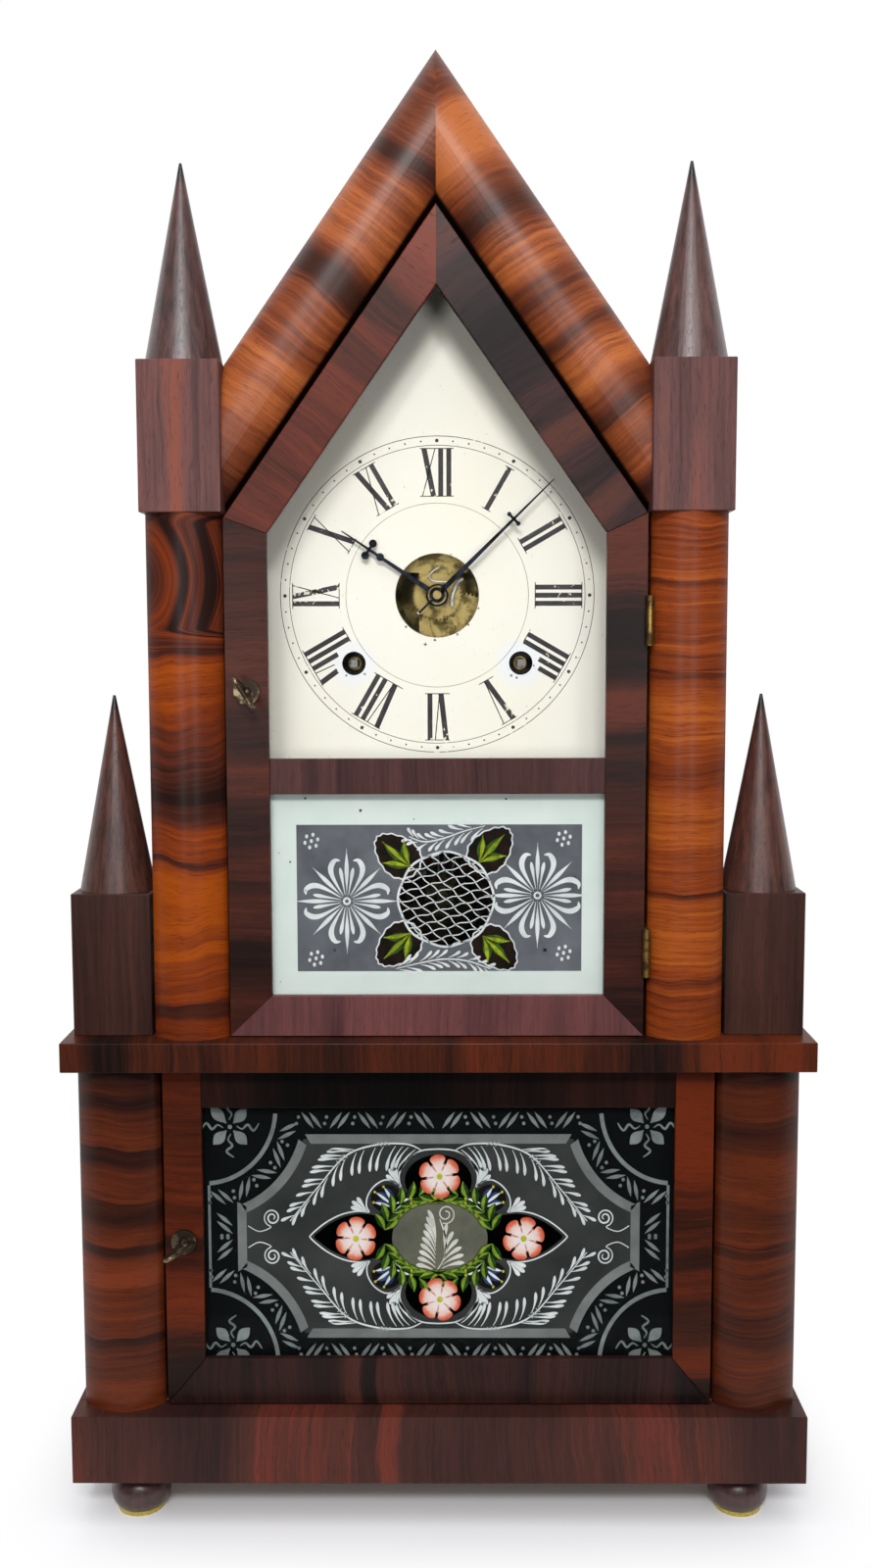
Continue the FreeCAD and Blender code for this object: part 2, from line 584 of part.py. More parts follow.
def latch(label, x, z, bow_angle):
    """The bow is a wire triangle with round corners that stands square to the door."""
    wire, half = s.bow_wire / 2, (s.bow_width - s.bow_wire) / 2
    near, far = -s.latch_disc_thickness, -(s.latch_reach - wire)
    corner = half * BOW_CORNER
    foot = [V(0, 0, 0), V(0, near, 0)]
    run = [V(0, near, 0), V(half - wire / 2, far + corner, 0)]
    arc_mid = V(half, far + corner * BOW_SHOULDER, 0)
    bend = V(half - corner, far, 0)
    edges = [Part.makeLine(run[0], run[1]), Part.Arc(run[1], arc_mid, bend).toShape(),
             Part.makeLine(bend, V(0, far, 0))]
    side = Part.Wire(edges)
    circle_at = Part.Wire(Part.makeCircle(wire, run[0], run[1] - run[0]))
    swept = side.makePipeShell([circle_at], True, True)
    other = swept.mirror(V(0, 0, 0), V(1, 0, 0))
    disc = Part.makeCylinder(s.latch_disc_diameter / 2, s.latch_disc_thickness, foot[0], V(0, -1, 0))
    boss = Part.makeSphere(s.latch_shaft_radius * BOW_BOSS, foot[1])
    bow = swept.fuse([other, boss])
    bow.rotate(foot[0], V(0, 1, 0), -bow_angle)
    through = s.door_thickness + s.tongue_room + s.tongue_thickness
    shaft = Part.makeCylinder(s.latch_shaft_radius, through, foot[0], V(0, 1, 0))
    tongue = Part.makeBox(s.tongue_width, s.tongue_thickness, s.tongue_length,
                          V(-s.tongue_width / 2, through - s.tongue_thickness, -s.tongue_length))
    whole = disc.fuse([bow, shaft, tongue])
    node(label, formed(label, whole, (x, y_door, z)))


def latches():
    latch("upper_latch", -(opening_half + s.upper_stile / 2), z_upper + s.upper_latch_rise,
          s.upper_bow_angle)
    latch("lower_latch", -(lower_opening_half + s.lower_stile / 2), z_lower + s.lower_latch_rise,
          s.lower_bow_angle)


# Dial, its strips and the hands

def winding_places():
    x, z = s.winding_spread / 2, z_dial - s.winding_drop
    return ((x, z), (-x, z))


def dial():
    """Painted sheet, house-shaped like the door's light, pierced for the hands and the winding squares."""
    half = opening_half + s.dial_margin
    gable = apex_inside(s.moulding_width + s.gable_rail - s.dial_margin)
    low = z_upper + s.crossbar_rise
    shoulder = slope_height(gable, half)
    edge = outline([(-half, low), (half, low), (half, shoulder), (0, gable), (-half, shoulder)])
    holes = [circle(0, z_dial, s.dial_hole_diameter / 2)]
    holes += [circle(x, z, s.winding_hole_diameter / 2) for x, z in winding_places()]
    node("dial", padded("dial", "XZ_Plane", edge + holes, "dial_thickness", (0, y_dial, 0)))
    inner = column_outer - s.side_inset - s.side_thickness
    strip = board("dial_strip", ("dial_strip_width", "dial_strip_depth", "upper_column_height"),
                  (inner - s.dial_strip_width, y_dial + s.dial_thickness, z_upper))
    pair("dial_strips", strip)


def prism(points, y, thickness):
    """Flat shape in the plane of the dial, from flat points about the dial's centre."""
    face = Part.Face(Part.makePolygon([V(x, y, z) for x, z in points + points[:1]]))
    return face.extrude(V(0, thickness, 0))


def tube(outer, inner, y_low, y_high):
    ring = Part.makeCylinder(outer, y_high - y_low, V(0, y_low, 0), V(0, 1, 0))
    return ring.cut(Part.makeCylinder(inner, y_high - y_low, V(0, y_low, 0), V(0, 1, 0)))


def pipe_radii():
    """Bores and radii of the minute pipe on the centre arbor and the hour pipe round it."""
    minute_bore = s.arbor_radius + s.running_clearance
    minute = minute_bore + s.minute_pipe_wall
    hour_bore = minute + s.running_clearance
    return SimpleNamespace(minute_bore=minute_bore, minute=minute, hour_bore=hour_bore,
                           hour=hour_bore + s.hour_pipe_wall)


def hand(label, reach, y, collet, bore, angle, place, foils):
    """Tapered hand with a ring round its pipe and round foils on a cross arm: (x, along, radius) each."""
    thick = s.hand_thickness
    side = [(s.hand_stem / 2, 0), (s.hand_neck / 2, place), (s.hand_tip / 2, reach)]
    blade = prism(side + [(-x, z) for x, z in reversed(side)], y, thick)
    spread = max(x for x, along, radius in foils)
    pieces = [Part.makeCylinder(collet, thick, V(0, y, 0), V(0, 1, 0)),
              Part.makeBox(2 * spread, thick, s.cross_arm, V(-spread, y, place - s.cross_arm / 2))]
    for x, along, radius in foils:
        pieces.append(Part.makeCylinder(radius, thick, V(x, y, place + along), V(0, 1, 0)))
    hub = Part.makeCylinder(bore, thick, V(0, y, 0), V(0, 1, 0))
    whole = blade.fuse(pieces)
    whole.rotate(V(0, 0, 0), V(0, 1, 0), angle)
    return formed(label, whole.cut(hub).removeSplitter(), (0, 0, z_dial))


# The hands stand between seven and eight minutes past ten
MINUTES_PAST = 7.6
MINUTE_ANGLE = MINUTES_PAST * 6
HOUR_ANGLE = (10 + MINUTES_PAST / 60) * 30 - 360


def taper_pin(room):
    """Pin that holds the minute hand on, or with some room the hole for it."""
    along = V(math.sin(math.radians(MINUTE_ANGLE)), 0, math.cos(math.radians(MINUTE_ANGLE)))
    middle = V(0, y_dial - s.minute_hand_lead - s.nose_length / 2, 0)
    return Part.makeCone(s.pin_radius + room, s.pin_radius * PIN_TAPER + room, s.pin_tail + s.pin_point,
                         middle - along * s.pin_tail, along)


def hands():
    """Hour hand with three round foils, minute hand with a small cross."""
    pipe = pipe_radii()
    spread, radius = s.hour_foil_spread, s.hour_foil_radius
    foils = [(-spread, 0, radius), (spread, 0, radius), (0, -s.hour_foil_drop, radius)]
    node("hour_hand", hand("hour_hand", s.hour_reach, y_dial - s.hour_hand_lead,
                           pipe.hour + s.hour_collet_rim, pipe.hour, HOUR_ANGLE, s.hour_foil_place, foils))
    spread, radius = s.minute_foil_spread, s.minute_foil_radius
    foils = [(-spread, 0, radius), (spread, 0, radius), (0, 0, radius)]
    blade = hand("minute_blade", s.minute_reach, y_dial - s.minute_hand_lead,
                 pipe.minute + s.minute_collet_rim, pipe.minute, MINUTE_ANGLE, s.minute_foil_place, foils)
    node("minute_hand", blade, formed("hand_pin", taper_pin(0), (0, 0, z_dial)))


# Toothed wheels and their arbors

def toothed(teeth, module, thickness, y, phase, is_pinion):
    """Straight-sided teeth with room between them; one tooth stands at the phase angle."""
    pitch_radius, pitch = teeth * module / 2, math.pi * module
    tip, root = pitch_radius + ADDENDUM * module, pitch_radius - DEDENDUM * module
    root_width, tip_width = PINION_LEAF if is_pinion else WHEEL_TOOTH
    points = []
    for index in range(teeth):
        middle = phase + index * 2 * math.pi / teeth
        for radius, width in ((root, -root_width), (tip, -tip_width), (tip, tip_width), (root, root_width)):
            turn = middle + width * pitch / 2 / radius
            points.append((radius * math.cos(turn), radius * math.sin(turn)))
    return prism(points, y, thickness)


def towards(start, end):
    return math.atan2(end[1] - start[1], end[0] - start[0])


def meshed(gear, wheel_at, pinion_at, y_wheel):
    """A wheel and the pinion that it drives, in mesh: a tooth of one faces a gap of the other."""
    angle = towards(wheel_at, pinion_at)
    wheel = toothed(gear.teeth, gear.module, s.wheel_thickness, y_wheel, angle, False)
    y_pinion = y_wheel - (s.pinion_length - s.wheel_thickness) / 2
    phase = angle + math.pi + math.pi / gear.leaves
    return wheel, toothed(gear.leaves, gear.module, s.pinion_length, y_pinion, phase, True)


def spacing(gear):
    return (gear.teeth + gear.leaves) * gear.module / 2


def arbor(y_low=None, y_high=None, radius=None):
    """A plain arbor between the plates with a thinner pivot at each end."""
    low, high, end = y_between + s.end_shake, y_rear_plate - s.end_shake, s.plate_thickness
    body = Part.makeCylinder(radius or s.arbor_radius, high - low, V(0, low, 0), V(0, 1, 0))
    first, last = y_low or low - end, y_high or high + end
    return body.fuse(Part.makeCylinder(s.pivot_radius, last - first, V(0, first, 0), V(0, 1, 0)))


def crossing(first, second, near, far, side):
    """Point at two given distances from two points, on one side of the line between them."""
    dx, dz = second[0] - first[0], second[1] - first[1]
    gap = math.hypot(dx, dz)
    along = (near ** 2 - far ** 2 + gap ** 2) / (2 * gap)
    off = side * math.sqrt(near ** 2 - along ** 2)
    return first[0] + (along * dx - off * dz) / gap, first[1] + (along * dz + off * dx) / gap


def polar(start, distance, degrees):
    turn = math.radians(degrees)
    return start[0] + distance * math.cos(turn), start[1] + distance * math.sin(turn)


# Places of the arbors about the dial's centre
centre = (0.0, 0.0)
time_great = (s.winding_spread / 2, -s.winding_drop)
strike_great = (-s.winding_spread / 2, -s.winding_drop)
time_second = crossing(time_great, centre, spacing(GREAT), spacing(SECOND), 1)
third = polar(centre, spacing(CENTRE), 60)
escape = (0.0, third[1] + math.sqrt(spacing(THIRD) ** 2 - third[0] ** 2))
verge_at = (0.0, escape[1] + s.verge_height)
strike_second = polar(strike_great, spacing(GREAT), 95)
pin_wheel = polar(strike_second, spacing(SECOND), 75)
warning = polar(pin_wheel, spacing(PIN_WHEEL), 40)
fly_at = polar(warning, spacing(WARNING), 60)
minute_post = polar(centre, spacing(CANNON), -60)
hammer_at = (-s.hammer_offset, s.hammer_rise - s.plate_below)
ARBORS = (time_second, third, escape, verge_at, strike_second, pin_wheel, warning, fly_at, hammer_at)

# Depths of the wheels between the plates
y_second = y_between + s.wheel_room
y_great = y_second + s.wheel_thickness + s.wheel_room
y_spring = y_great + s.wheel_thickness + s.spring_room
y_pin_wheel = y_between + 10.0
y_warning = y_between + 14.5
y_third = y_between + 18.5
y_escape = y_between + 22.5
y_centre = y_rear_plate - s.wheel_room - s.wheel_thickness
y_cannon = y_plate - s.end_shake - s.wheel_thickness
y_hour_wheel = y_dial + s.dial_thickness + s.end_shake


def wheel_at(label, place, *shapes):
    whole = shapes[0].fuse(list(shapes[1:])) if len(shapes) > 1 else shapes[0]
    node(label, formed(label, whole.removeSplitter(), (place[0], 0, z_dial + place[1])))


def great_wheel(label, place, wheel):
    """Great wheel on its winding arbor, whose squared end comes out through the dial."""
    low, high = y_between + s.end_shake, y_rear_plate - s.end_shake
    axle = Part.makeCylinder(s.winding_arbor_radius, high - low, V(0, low, 0), V(0, 1, 0))
    y_square = y_dial - s.square_stand
    square = Part.makeBox(s.winding_square, low - y_square, s.winding_square,
                          V(-s.winding_square / 2, y_square, -s.winding_square / 2))
    pivot = Part.makeCylinder(s.pivot_radius, s.plate_thickness, V(0, high, 0), V(0, 1, 0))
    wheel_at(label, place, axle, square, pivot, wheel)


def going_train():
    great, second_pinion = meshed(GREAT, time_great, time_second, y_great)
    second, centre_pinion = meshed(SECOND, time_second, centre, y_second)
    middle, third_pinion = meshed(CENTRE, centre, third, y_centre)
    last, escape_pinion = meshed(THIRD, third, escape, y_third)
    great_wheel("time_great_wheel", time_great, great)
    wheel_at("time_second_wheel", time_second, arbor(), second, second_pinion)
    y_end = y_dial - s.minute_hand_lead + s.end_shake
    y_shoulder = y_rear_plate - s.end_shake
    long_arbor = Part.makeCylinder(s.arbor_radius, y_shoulder - y_end, V(0, y_end, 0), V(0, 1, 0))
    rear = Part.makeCylinder(s.pivot_radius, s.plate_thickness, V(0, y_shoulder, 0), V(0, 1, 0))
    wheel_at("centre_wheel", centre, long_arbor, rear, middle, centre_pinion)
    wheel_at("third_wheel", third, arbor(), last, third_pinion)
    teeth, pitch = [], 360 / ESCAPE_TEETH
    for index in range(ESCAPE_TEETH):
        for share, lean in ESCAPE_TOOTH:
            teeth.append(polar((0, 0), s.escape_radius * share, (index + lean) * pitch))
    wheel_at("escape_wheel", escape, arbor(), prism(teeth, y_escape, s.wheel_thickness), escape_pinion)


def motion_work():
    """Cannon pinion with its pipe and washer, minute wheel on its post, hour wheel and pipe."""
    radii = pipe_radii()
    angle = towards(centre, minute_post)
    phase = angle + math.pi / CANNON.leaves
    cannon = toothed(CANNON.leaves, CANNON.module, s.wheel_thickness, y_cannon, phase, True)
    y_nose = y_dial - s.minute_hand_lead
    pipe = tube(radii.minute, radii.minute_bore, y_nose, y_plate - s.end_shake)
    nose = Part.makeCylinder(radii.minute, s.nose_length, V(0, y_nose - s.nose_length, 0), V(0, 1, 0))
    y_washer = y_nose + s.hand_thickness
    washer = tube(s.washer_radius, radii.minute_bore, y_washer, y_washer + s.washer_thickness)
    minute_pipe = pipe.fuse([nose, washer]).cut(taper_pin(s.running_clearance))
    core = Part.makeCylinder(radii.minute_bore, s.wheel_thickness, V(0, y_cannon, 0), V(0, 1, 0))
    wheel_at("cannon_pinion", centre, minute_pipe, cannon.cut(core))
    wheel = toothed(CANNON.teeth, CANNON.module, s.wheel_thickness, y_cannon, angle + math.pi, False)
    pinion_phase = angle + math.pi + math.pi / HOUR.leaves
    pinion = toothed(HOUR.leaves, HOUR.module, y_cannon - y_hour_wheel, y_hour_wheel, pinion_phase, True)
    post_hole = Part.makeCylinder(s.arbor_radius + s.running_clearance, y_plate - y_hour_wheel,
                                  V(0, y_hour_wheel, 0), V(0, 1, 0))
    wheel_at("minute_wheel", minute_post, wheel.fuse(pinion).cut(post_hole))
    hour = toothed(HOUR.teeth, HOUR.module, s.wheel_thickness, y_hour_wheel, angle, False)
    hour_core = Part.makeCylinder(radii.hour_bore, s.wheel_thickness, V(0, y_hour_wheel, 0), V(0, 1, 0))
    y_end, y_start = y_hour_wheel + s.wheel_thickness, y_dial - s.hour_hand_lead
    hour_pipe = tube(radii.hour, radii.hour_bore, y_start, y_end)
    wheel_at("hour_wheel", centre, hour_pipe, hour.cut(hour_core))


def striking_train():
    great, second_pinion = meshed(GREAT, strike_great, strike_second, y_great)
    second, pin_pinion = meshed(SECOND, strike_second, pin_wheel, y_second)
    pins, warning_pinion = meshed(PIN_WHEEL, pin_wheel, warning, y_pin_wheel)
    warn, fly_pinion = meshed(WARNING, warning, fly_at, y_warning)
    great_wheel("strike_great_wheel", strike_great, great)
    wheel_at("strike_second_wheel", strike_second, arbor(), second, second_pinion)
    lifting = []
    for index in range(LIFTING_PINS):
        x, z = polar((0, 0), s.lifting_circle, index * 360 / LIFTING_PINS)
        lifting.append(Part.makeCylinder(s.lifting_pin_radius, s.lifting_pin_length,
                                         V(x, y_pin_wheel + s.wheel_thickness, z), V(0, 1, 0)))
    wheel_at("pin_wheel", pin_wheel, arbor(), pins, pin_pinion, *lifting)
    wheel_at("warning_wheel", warning, arbor(), warn, warning_pinion)
    vane = Part.makeBox(s.fly_span, s.fly_depth, s.fly_thickness,
                        V(-s.fly_span / 2, y_between + 2 * s.wheel_room, -s.fly_thickness / 2))
    wheel_at("fly", fly_at, arbor(), vane, fly_pinion)


def mainsprings():
    """Coiled springs, drawn as closed packs of turns about the winding arbors."""
    rings = []
    for x, z in (time_great, strike_great):
        ring = Part.makeCylinder(s.spring_radius, s.spring_width, V(x, y_spring, z_dial + z), V(0, 1, 0))
        bore = Part.makeCylinder(s.winding_arbor_radius + s.spring_room, s.spring_width,
                                 V(x, y_spring, z_dial + z), V(0, 1, 0))
        rings.append(formed("mainspring", ring.cut(bore)))
    node("mainsprings", *rings)


def pillar_places():
    x = s.plate_width / 2 - s.pillar_inset
    return [(side * x, z_dial + z) for side in (-1, 1)
            for z in (s.plate_above - s.pillar_inset, -s.plate_below + s.pillar_inset)]


def movement_frame():
    """Two pierced brass plates on four pillars, which run back to the back board as feet."""
    half = s.plate_width / 2
    edge = outline([(-half, z_dial - s.plate_below), (half, z_dial - s.plate_below),
                    (half, z_dial + s.plate_above), (-half, z_dial + s.plate_above)])
    pivots = [circle(x, z_dial + z, s.pivot_radius + s.running_clearance) for x, z in ARBORS]
    squares = [circle(x, z, s.winding_arbor_radius + s.running_clearance) for x, z in winding_places()]
    middle = [circle(0, z_dial, s.arbor_radius + s.running_clearance)]
    web, reach = s.plate_web / 2, s.plate_web / 2 + s.window_width
    windows = outline([(-reach, z_dial - s.window_width), (-web, z_dial - s.window_width),
                       (-web, z_dial + s.window_rise), (-reach, z_dial + s.window_rise)])
    windows += outline([(web, z_dial - s.window_rise / 2), (reach, z_dial - s.window_rise / 2),
                        (reach, z_dial + s.window_rise), (web, z_dial + s.window_rise)])
    front = padded("front_plate_blank", "XZ_Plane", edge + pivots + squares + middle + windows,
                   "plate_thickness", (0, y_plate, 0))
    posts = [circle(x, z_dial + z, s.pivot_radius + s.running_clearance)
             for x, z in (time_great, strike_great, centre)]
    rear = padded("rear_plate", "XZ_Plane", edge + pivots + posts, "plate_thickness", (0, y_rear_plate, 0))
    stud = rod("minute_post", "arbor_radius", f"{y_between - y_hour_wheel}",
               (minute_post[0], y_hour_wheel, z_dial + minute_post[1]), (0, 1, 0))
    node("front_plate", joined("front_plate_and_post", front, stud))
    node("rear_plate", rear)
    spans = ((y_between, "plate_spacing"), (y_behind, f"{y_board - y_behind}"))
    node("plate_pillars", *[rod("plate_pillar", "pillar_diameter / 2", length, (x, y, z), (0, 1, 0))
                            for x, z in pillar_places() for y, length in spans])


# Escapement, pendulum, hammer and gong

def verge():
    """Anchor over the escape wheel, its arbor, and the crutch behind the rear plate."""
    drop = s.verge_height - s.escape_radius
    reach = s.escape_radius * 0.8
    right = [(2.2, 1.8), (reach + 1.4, -drop - 1.2), (reach, -drop - 2.1), (1.2, -2.4)]
    arch = right + [(-x, z) for x, z in reversed(right)]
    anchor = prism(arch, y_escape - (s.pallet_thickness - s.wheel_thickness) / 2, s.pallet_thickness)
    wire, low = s.crutch_wire, -s.crutch_length
    y_crutch = y_behind + s.end_shake
    stalk = Part.makeBox(wire, wire, s.crutch_length, V(-wire / 2, y_crutch, low))
    gap = s.rod_radius + s.crutch_room
    reach_back = y_rod + s.rod_radius + wire - y_crutch
    fork = [Part.makeBox(wire, reach_back, wire, V(x, y_crutch, low)) for x in (-gap - wire, gap)]
    bridge = Part.makeBox(2 * (gap + wire), wire, wire, V(-gap - wire, y_crutch, low))
    wheel_at("verge", verge_at, arbor(y_high=y_crutch + wire), anchor, stalk, bridge, *fork)


def pendulum():
    """Rod with its spring strip, and a lens-shaped bob."""
    z_hang = z_dial + verge_at[1]
    strip = Part.makeBox(s.strip_width, s.strip_thickness, s.strip_length + s.post_radius,
                         V(-s.strip_width / 2, y_rod - s.strip_thickness / 2, -s.strip_length))
    straight = s.pendulum_length - s.strip_length + s.post_radius
    wire = Part.makeCylinder(s.rod_radius, straight, V(0, y_rod, -s.pendulum_length))
    node("pendulum_rod", formed("pendulum_rod", strip.fuse(wire), (0, 0, z_hang)))
    half, radius, rim = s.bob_thickness / 2, s.bob_diameter / 2, s.bob_rim / 2
    x_mid, y_mid = radius * LENS_PLACE, half * LENS_HEIGHT
    lens = [Part.LineSegment(V(0, -half, 0), V(0, half, 0)),
            Part.Arc(V(0, half, 0), V(x_mid, y_mid, 0), V(radius, rim, 0)),
            Part.LineSegment(V(radius, rim, 0), V(radius, -rim, 0)),
            Part.Arc(V(radius, -rim, 0), V(x_mid, -y_mid, 0), V(0, -half, 0))]
    bob = turned("bob_blank", lens, (0, y_rod, z_hang - s.pendulum_length), (0, 1, 0))
    bore = rod("bob_bore", "rod_radius", "bob_diameter", (0, y_rod, z_hang - s.pendulum_length), (0, 0, 1))
    node("pendulum_bob", cut("pendulum_bob", bob, bore))


def hammer():
    """Hammer on its own arbor, which runs out behind the rear plate to the plane of the gong."""
    overrun = s.hammer_wire
    wire = Part.makeCylinder(s.hammer_wire / 2, s.hammer_length + overrun, V(0, y_gong, -s.hammer_length))
    head = Part.makeCylinder(s.hammer_head_diameter / 2, s.hammer_head_length,
                             V(-s.hammer_head_length / 2, y_gong, -s.hammer_length), V(1, 0, 0))
    wheel_at("hammer", hammer_at, arbor(y_high=y_gong + overrun), wire, head)


def gong():
    """Flat coil of wire on a boss: half turns whose centres step inwards."""
    x = hammer_at[0] + s.hammer_head_length / 2 + s.hammer_gap + s.gong_radius + s.gong_wire / 2
    z = z_dial + hammer_at[1] - s.hammer_length
    step, wire = s.gong_pitch / 2, s.gong_wire / 2
    edges, left, right = [], -s.gong_radius, s.gong_radius - step
    for turn in range(2 * int(s.gong_turns)):
        start, end = (left, right) if turn % 2 == 0 else (right, left)
        mid, radius = (start + end) / 2, abs(end - start) / 2
        bulge = radius if turn % 2 == 0 else -radius
        edges.append(Part.Arc(V(start, 0, 0), V(mid, 0, bulge), V(end, 0, 0)).toShape())
        left, right = (left + s.gong_pitch, right) if turn % 2 == 0 else (left, right - s.gong_pitch)
    inner = edges[-1].Vertexes[-1].Point
    edges.append(Part.makeLine(inner, V(-s.gong_boss_radius, 0, 0)) if abs(inner.x) > s.gong_boss_radius
                 else Part.makeLine(inner, V(0, 0, 0)))
    path = Part.Wire(edges)
    section = Part.Wire(Part.makeCircle(wire, V(-s.gong_radius, 0, 0), V(0, 0, 1)))
    coil = path.makePipeShell([section], True, False)
    node("gong", formed("gong", coil, (x, y_gong, z)))
    boss = rod("gong_boss", "gong_boss_radius", f"{y_board - y_gong + s.gong_boss_radius}",
               (x, y_gong - s.gong_boss_radius, z), (0, 1, 0))
    z_hang = z_dial + verge_at[1]
    post = rod("suspension_post", "post_radius", f"{y_board - y_rod + s.post_radius}",
               (0, y_rod - s.post_radius, z_hang + 2 * s.post_radius + s.post_room), (0, 1, 0))
    node("back_board_studs", boss, post)
    print("gong turns", s.gong_turns, "least gap between turns", s.gong_pitch - s.gong_wire)


def build():
    for make in (felt_pads, bun_feet, plinth, lower_carcass, upper_carcass, columns, blocks_and_steeples,
                 gable_mouldings, upper_door, lower_door, hinges, latches, dial, hands, going_train,
                 motion_work, striking_train, mainsprings, movement_frame, verge, pendulum, hammer, gong):
        make()


def check_and_export():
    """Every object must have come out whole before anything is written."""
    doc.recompute()
    for obj in doc.Objects:
        if "Invalid" in obj.State or "Error" in obj.State:
            raise RuntimeError(f"{obj.Label} failed: {obj.State}")
    os.makedirs("parts", exist_ok=True)
    for label, obj in nodes.items():
        if obj.Shape.isNull() or not obj.Shape.isValid():
            raise RuntimeError(f"{label} has no valid shape")
    for label, obj in nodes.items():
        obj.Label = label
        obj.Shape.exportStep(f"parts/{label}.step")
        print(label, len(obj.Shape.Solids), round(obj.Shape.Volume, 1))


build()
check_and_export()
print("nodes", len(nodes))
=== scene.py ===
# %% [markdown]
# A double steeple clock.
# The packed model comes in as a fixed frame: sixty named pieces in metres, each on the body that
# moves it. Everything below only dresses that frame.

# %% Load the frame
import json
import math

import bmesh
import bpy
from mathutils import Matrix, Vector


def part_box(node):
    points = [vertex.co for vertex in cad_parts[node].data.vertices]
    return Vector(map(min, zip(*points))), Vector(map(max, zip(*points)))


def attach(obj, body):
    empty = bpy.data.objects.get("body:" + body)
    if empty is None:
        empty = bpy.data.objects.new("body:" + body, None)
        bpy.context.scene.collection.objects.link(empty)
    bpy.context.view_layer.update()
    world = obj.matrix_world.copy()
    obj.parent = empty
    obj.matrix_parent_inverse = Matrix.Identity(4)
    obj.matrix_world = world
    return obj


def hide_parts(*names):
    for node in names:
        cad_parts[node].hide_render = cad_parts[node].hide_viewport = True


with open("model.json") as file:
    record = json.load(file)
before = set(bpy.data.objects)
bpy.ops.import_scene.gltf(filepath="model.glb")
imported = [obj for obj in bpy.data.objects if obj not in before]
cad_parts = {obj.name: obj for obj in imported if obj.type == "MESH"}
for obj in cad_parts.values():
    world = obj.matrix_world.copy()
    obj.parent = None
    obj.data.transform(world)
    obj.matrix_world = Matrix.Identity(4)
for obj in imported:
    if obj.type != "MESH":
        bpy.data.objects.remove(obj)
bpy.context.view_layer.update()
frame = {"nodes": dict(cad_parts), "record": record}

MM = 0.001

# %% [markdown]
# The camera.
# The clock was seen from the front, close enough that the shelf and plinth are seen from above.
# The lens is given as a focal length in pixels of a picture 1600 high, and Blender's sensor width
# stands for that long side. A turn to the left, a tilt down and a small roll are three rotations
# multiplied in that order, which is easier to read than one set of mixed angles.

# %% Camera
PICTURE_HEIGHT = 1600
FOCAL_PIXELS = 1500
CAMERA_PLACE = Vector((0.0033, -0.7022, 0.4047))
TURN_LEFT = 0.00625
TILT_DOWN = math.radians(5.286)
ROLL = math.radians(-0.152)

lens = bpy.data.cameras.new("front_camera")
lens.sensor_width = 36
lens.lens = FOCAL_PIXELS * lens.sensor_width / PICTURE_HEIGHT
camera = bpy.data.objects.new("front_camera", lens)
bpy.context.scene.collection.objects.link(camera)
camera.matrix_world = (Matrix.Translation(CAMERA_PLACE) @ Matrix.Rotation(TURN_LEFT, 4, "Z")
                       @ Matrix.Rotation(math.pi / 2 - TILT_DOWN, 4, "X")
                       @ Matrix.Rotation(ROLL, 4, "Z"))
bpy.context.scene.camera = camera
bpy.context.scene.view_settings.view_transform = "Standard"
print("lens in mm:", round(lens.lens, 2))

# %% [markdown]
# Writing materials as sums.
# A finish such as veneer is a recipe of many small steps. Wiring each Math node by hand hides the
# recipe, so a Strand wraps one output of a node and Python's own signs add the Math nodes. Any
# other node comes from one method, which takes its type, its settings and what goes into it.

# %% Strands
class Strand:
    """One value in a node tree. Arithmetic on it adds Math nodes to the same tree."""

    def __init__(self, sheet, socket):
        self.sheet = sheet
        self.socket = socket

    def output(self, name):
        """Another output of the node that this value comes from."""
        return Strand(self.sheet, self.socket.node.outputs[name])

    def math(self, operation, first, second=0.0):
        return self.sheet.node("ShaderNodeMath", {"operation": operation}, [first, second])

    def __add__(self, other):
        return self.math("ADD", self, other)

    def __sub__(self, other):
        return self.math("SUBTRACT", self, other)

    def __rsub__(self, other):
        return self.math("SUBTRACT", other, self)

    def __mul__(self, other):
        return self.math("MULTIPLY", self, other)

    def __abs__(self):
        return self.math("ABSOLUTE", self)

    __radd__ = __add__


print("a strand knows:", [name.strip("_") for name in vars(Strand) if callable(vars(Strand)[name])])

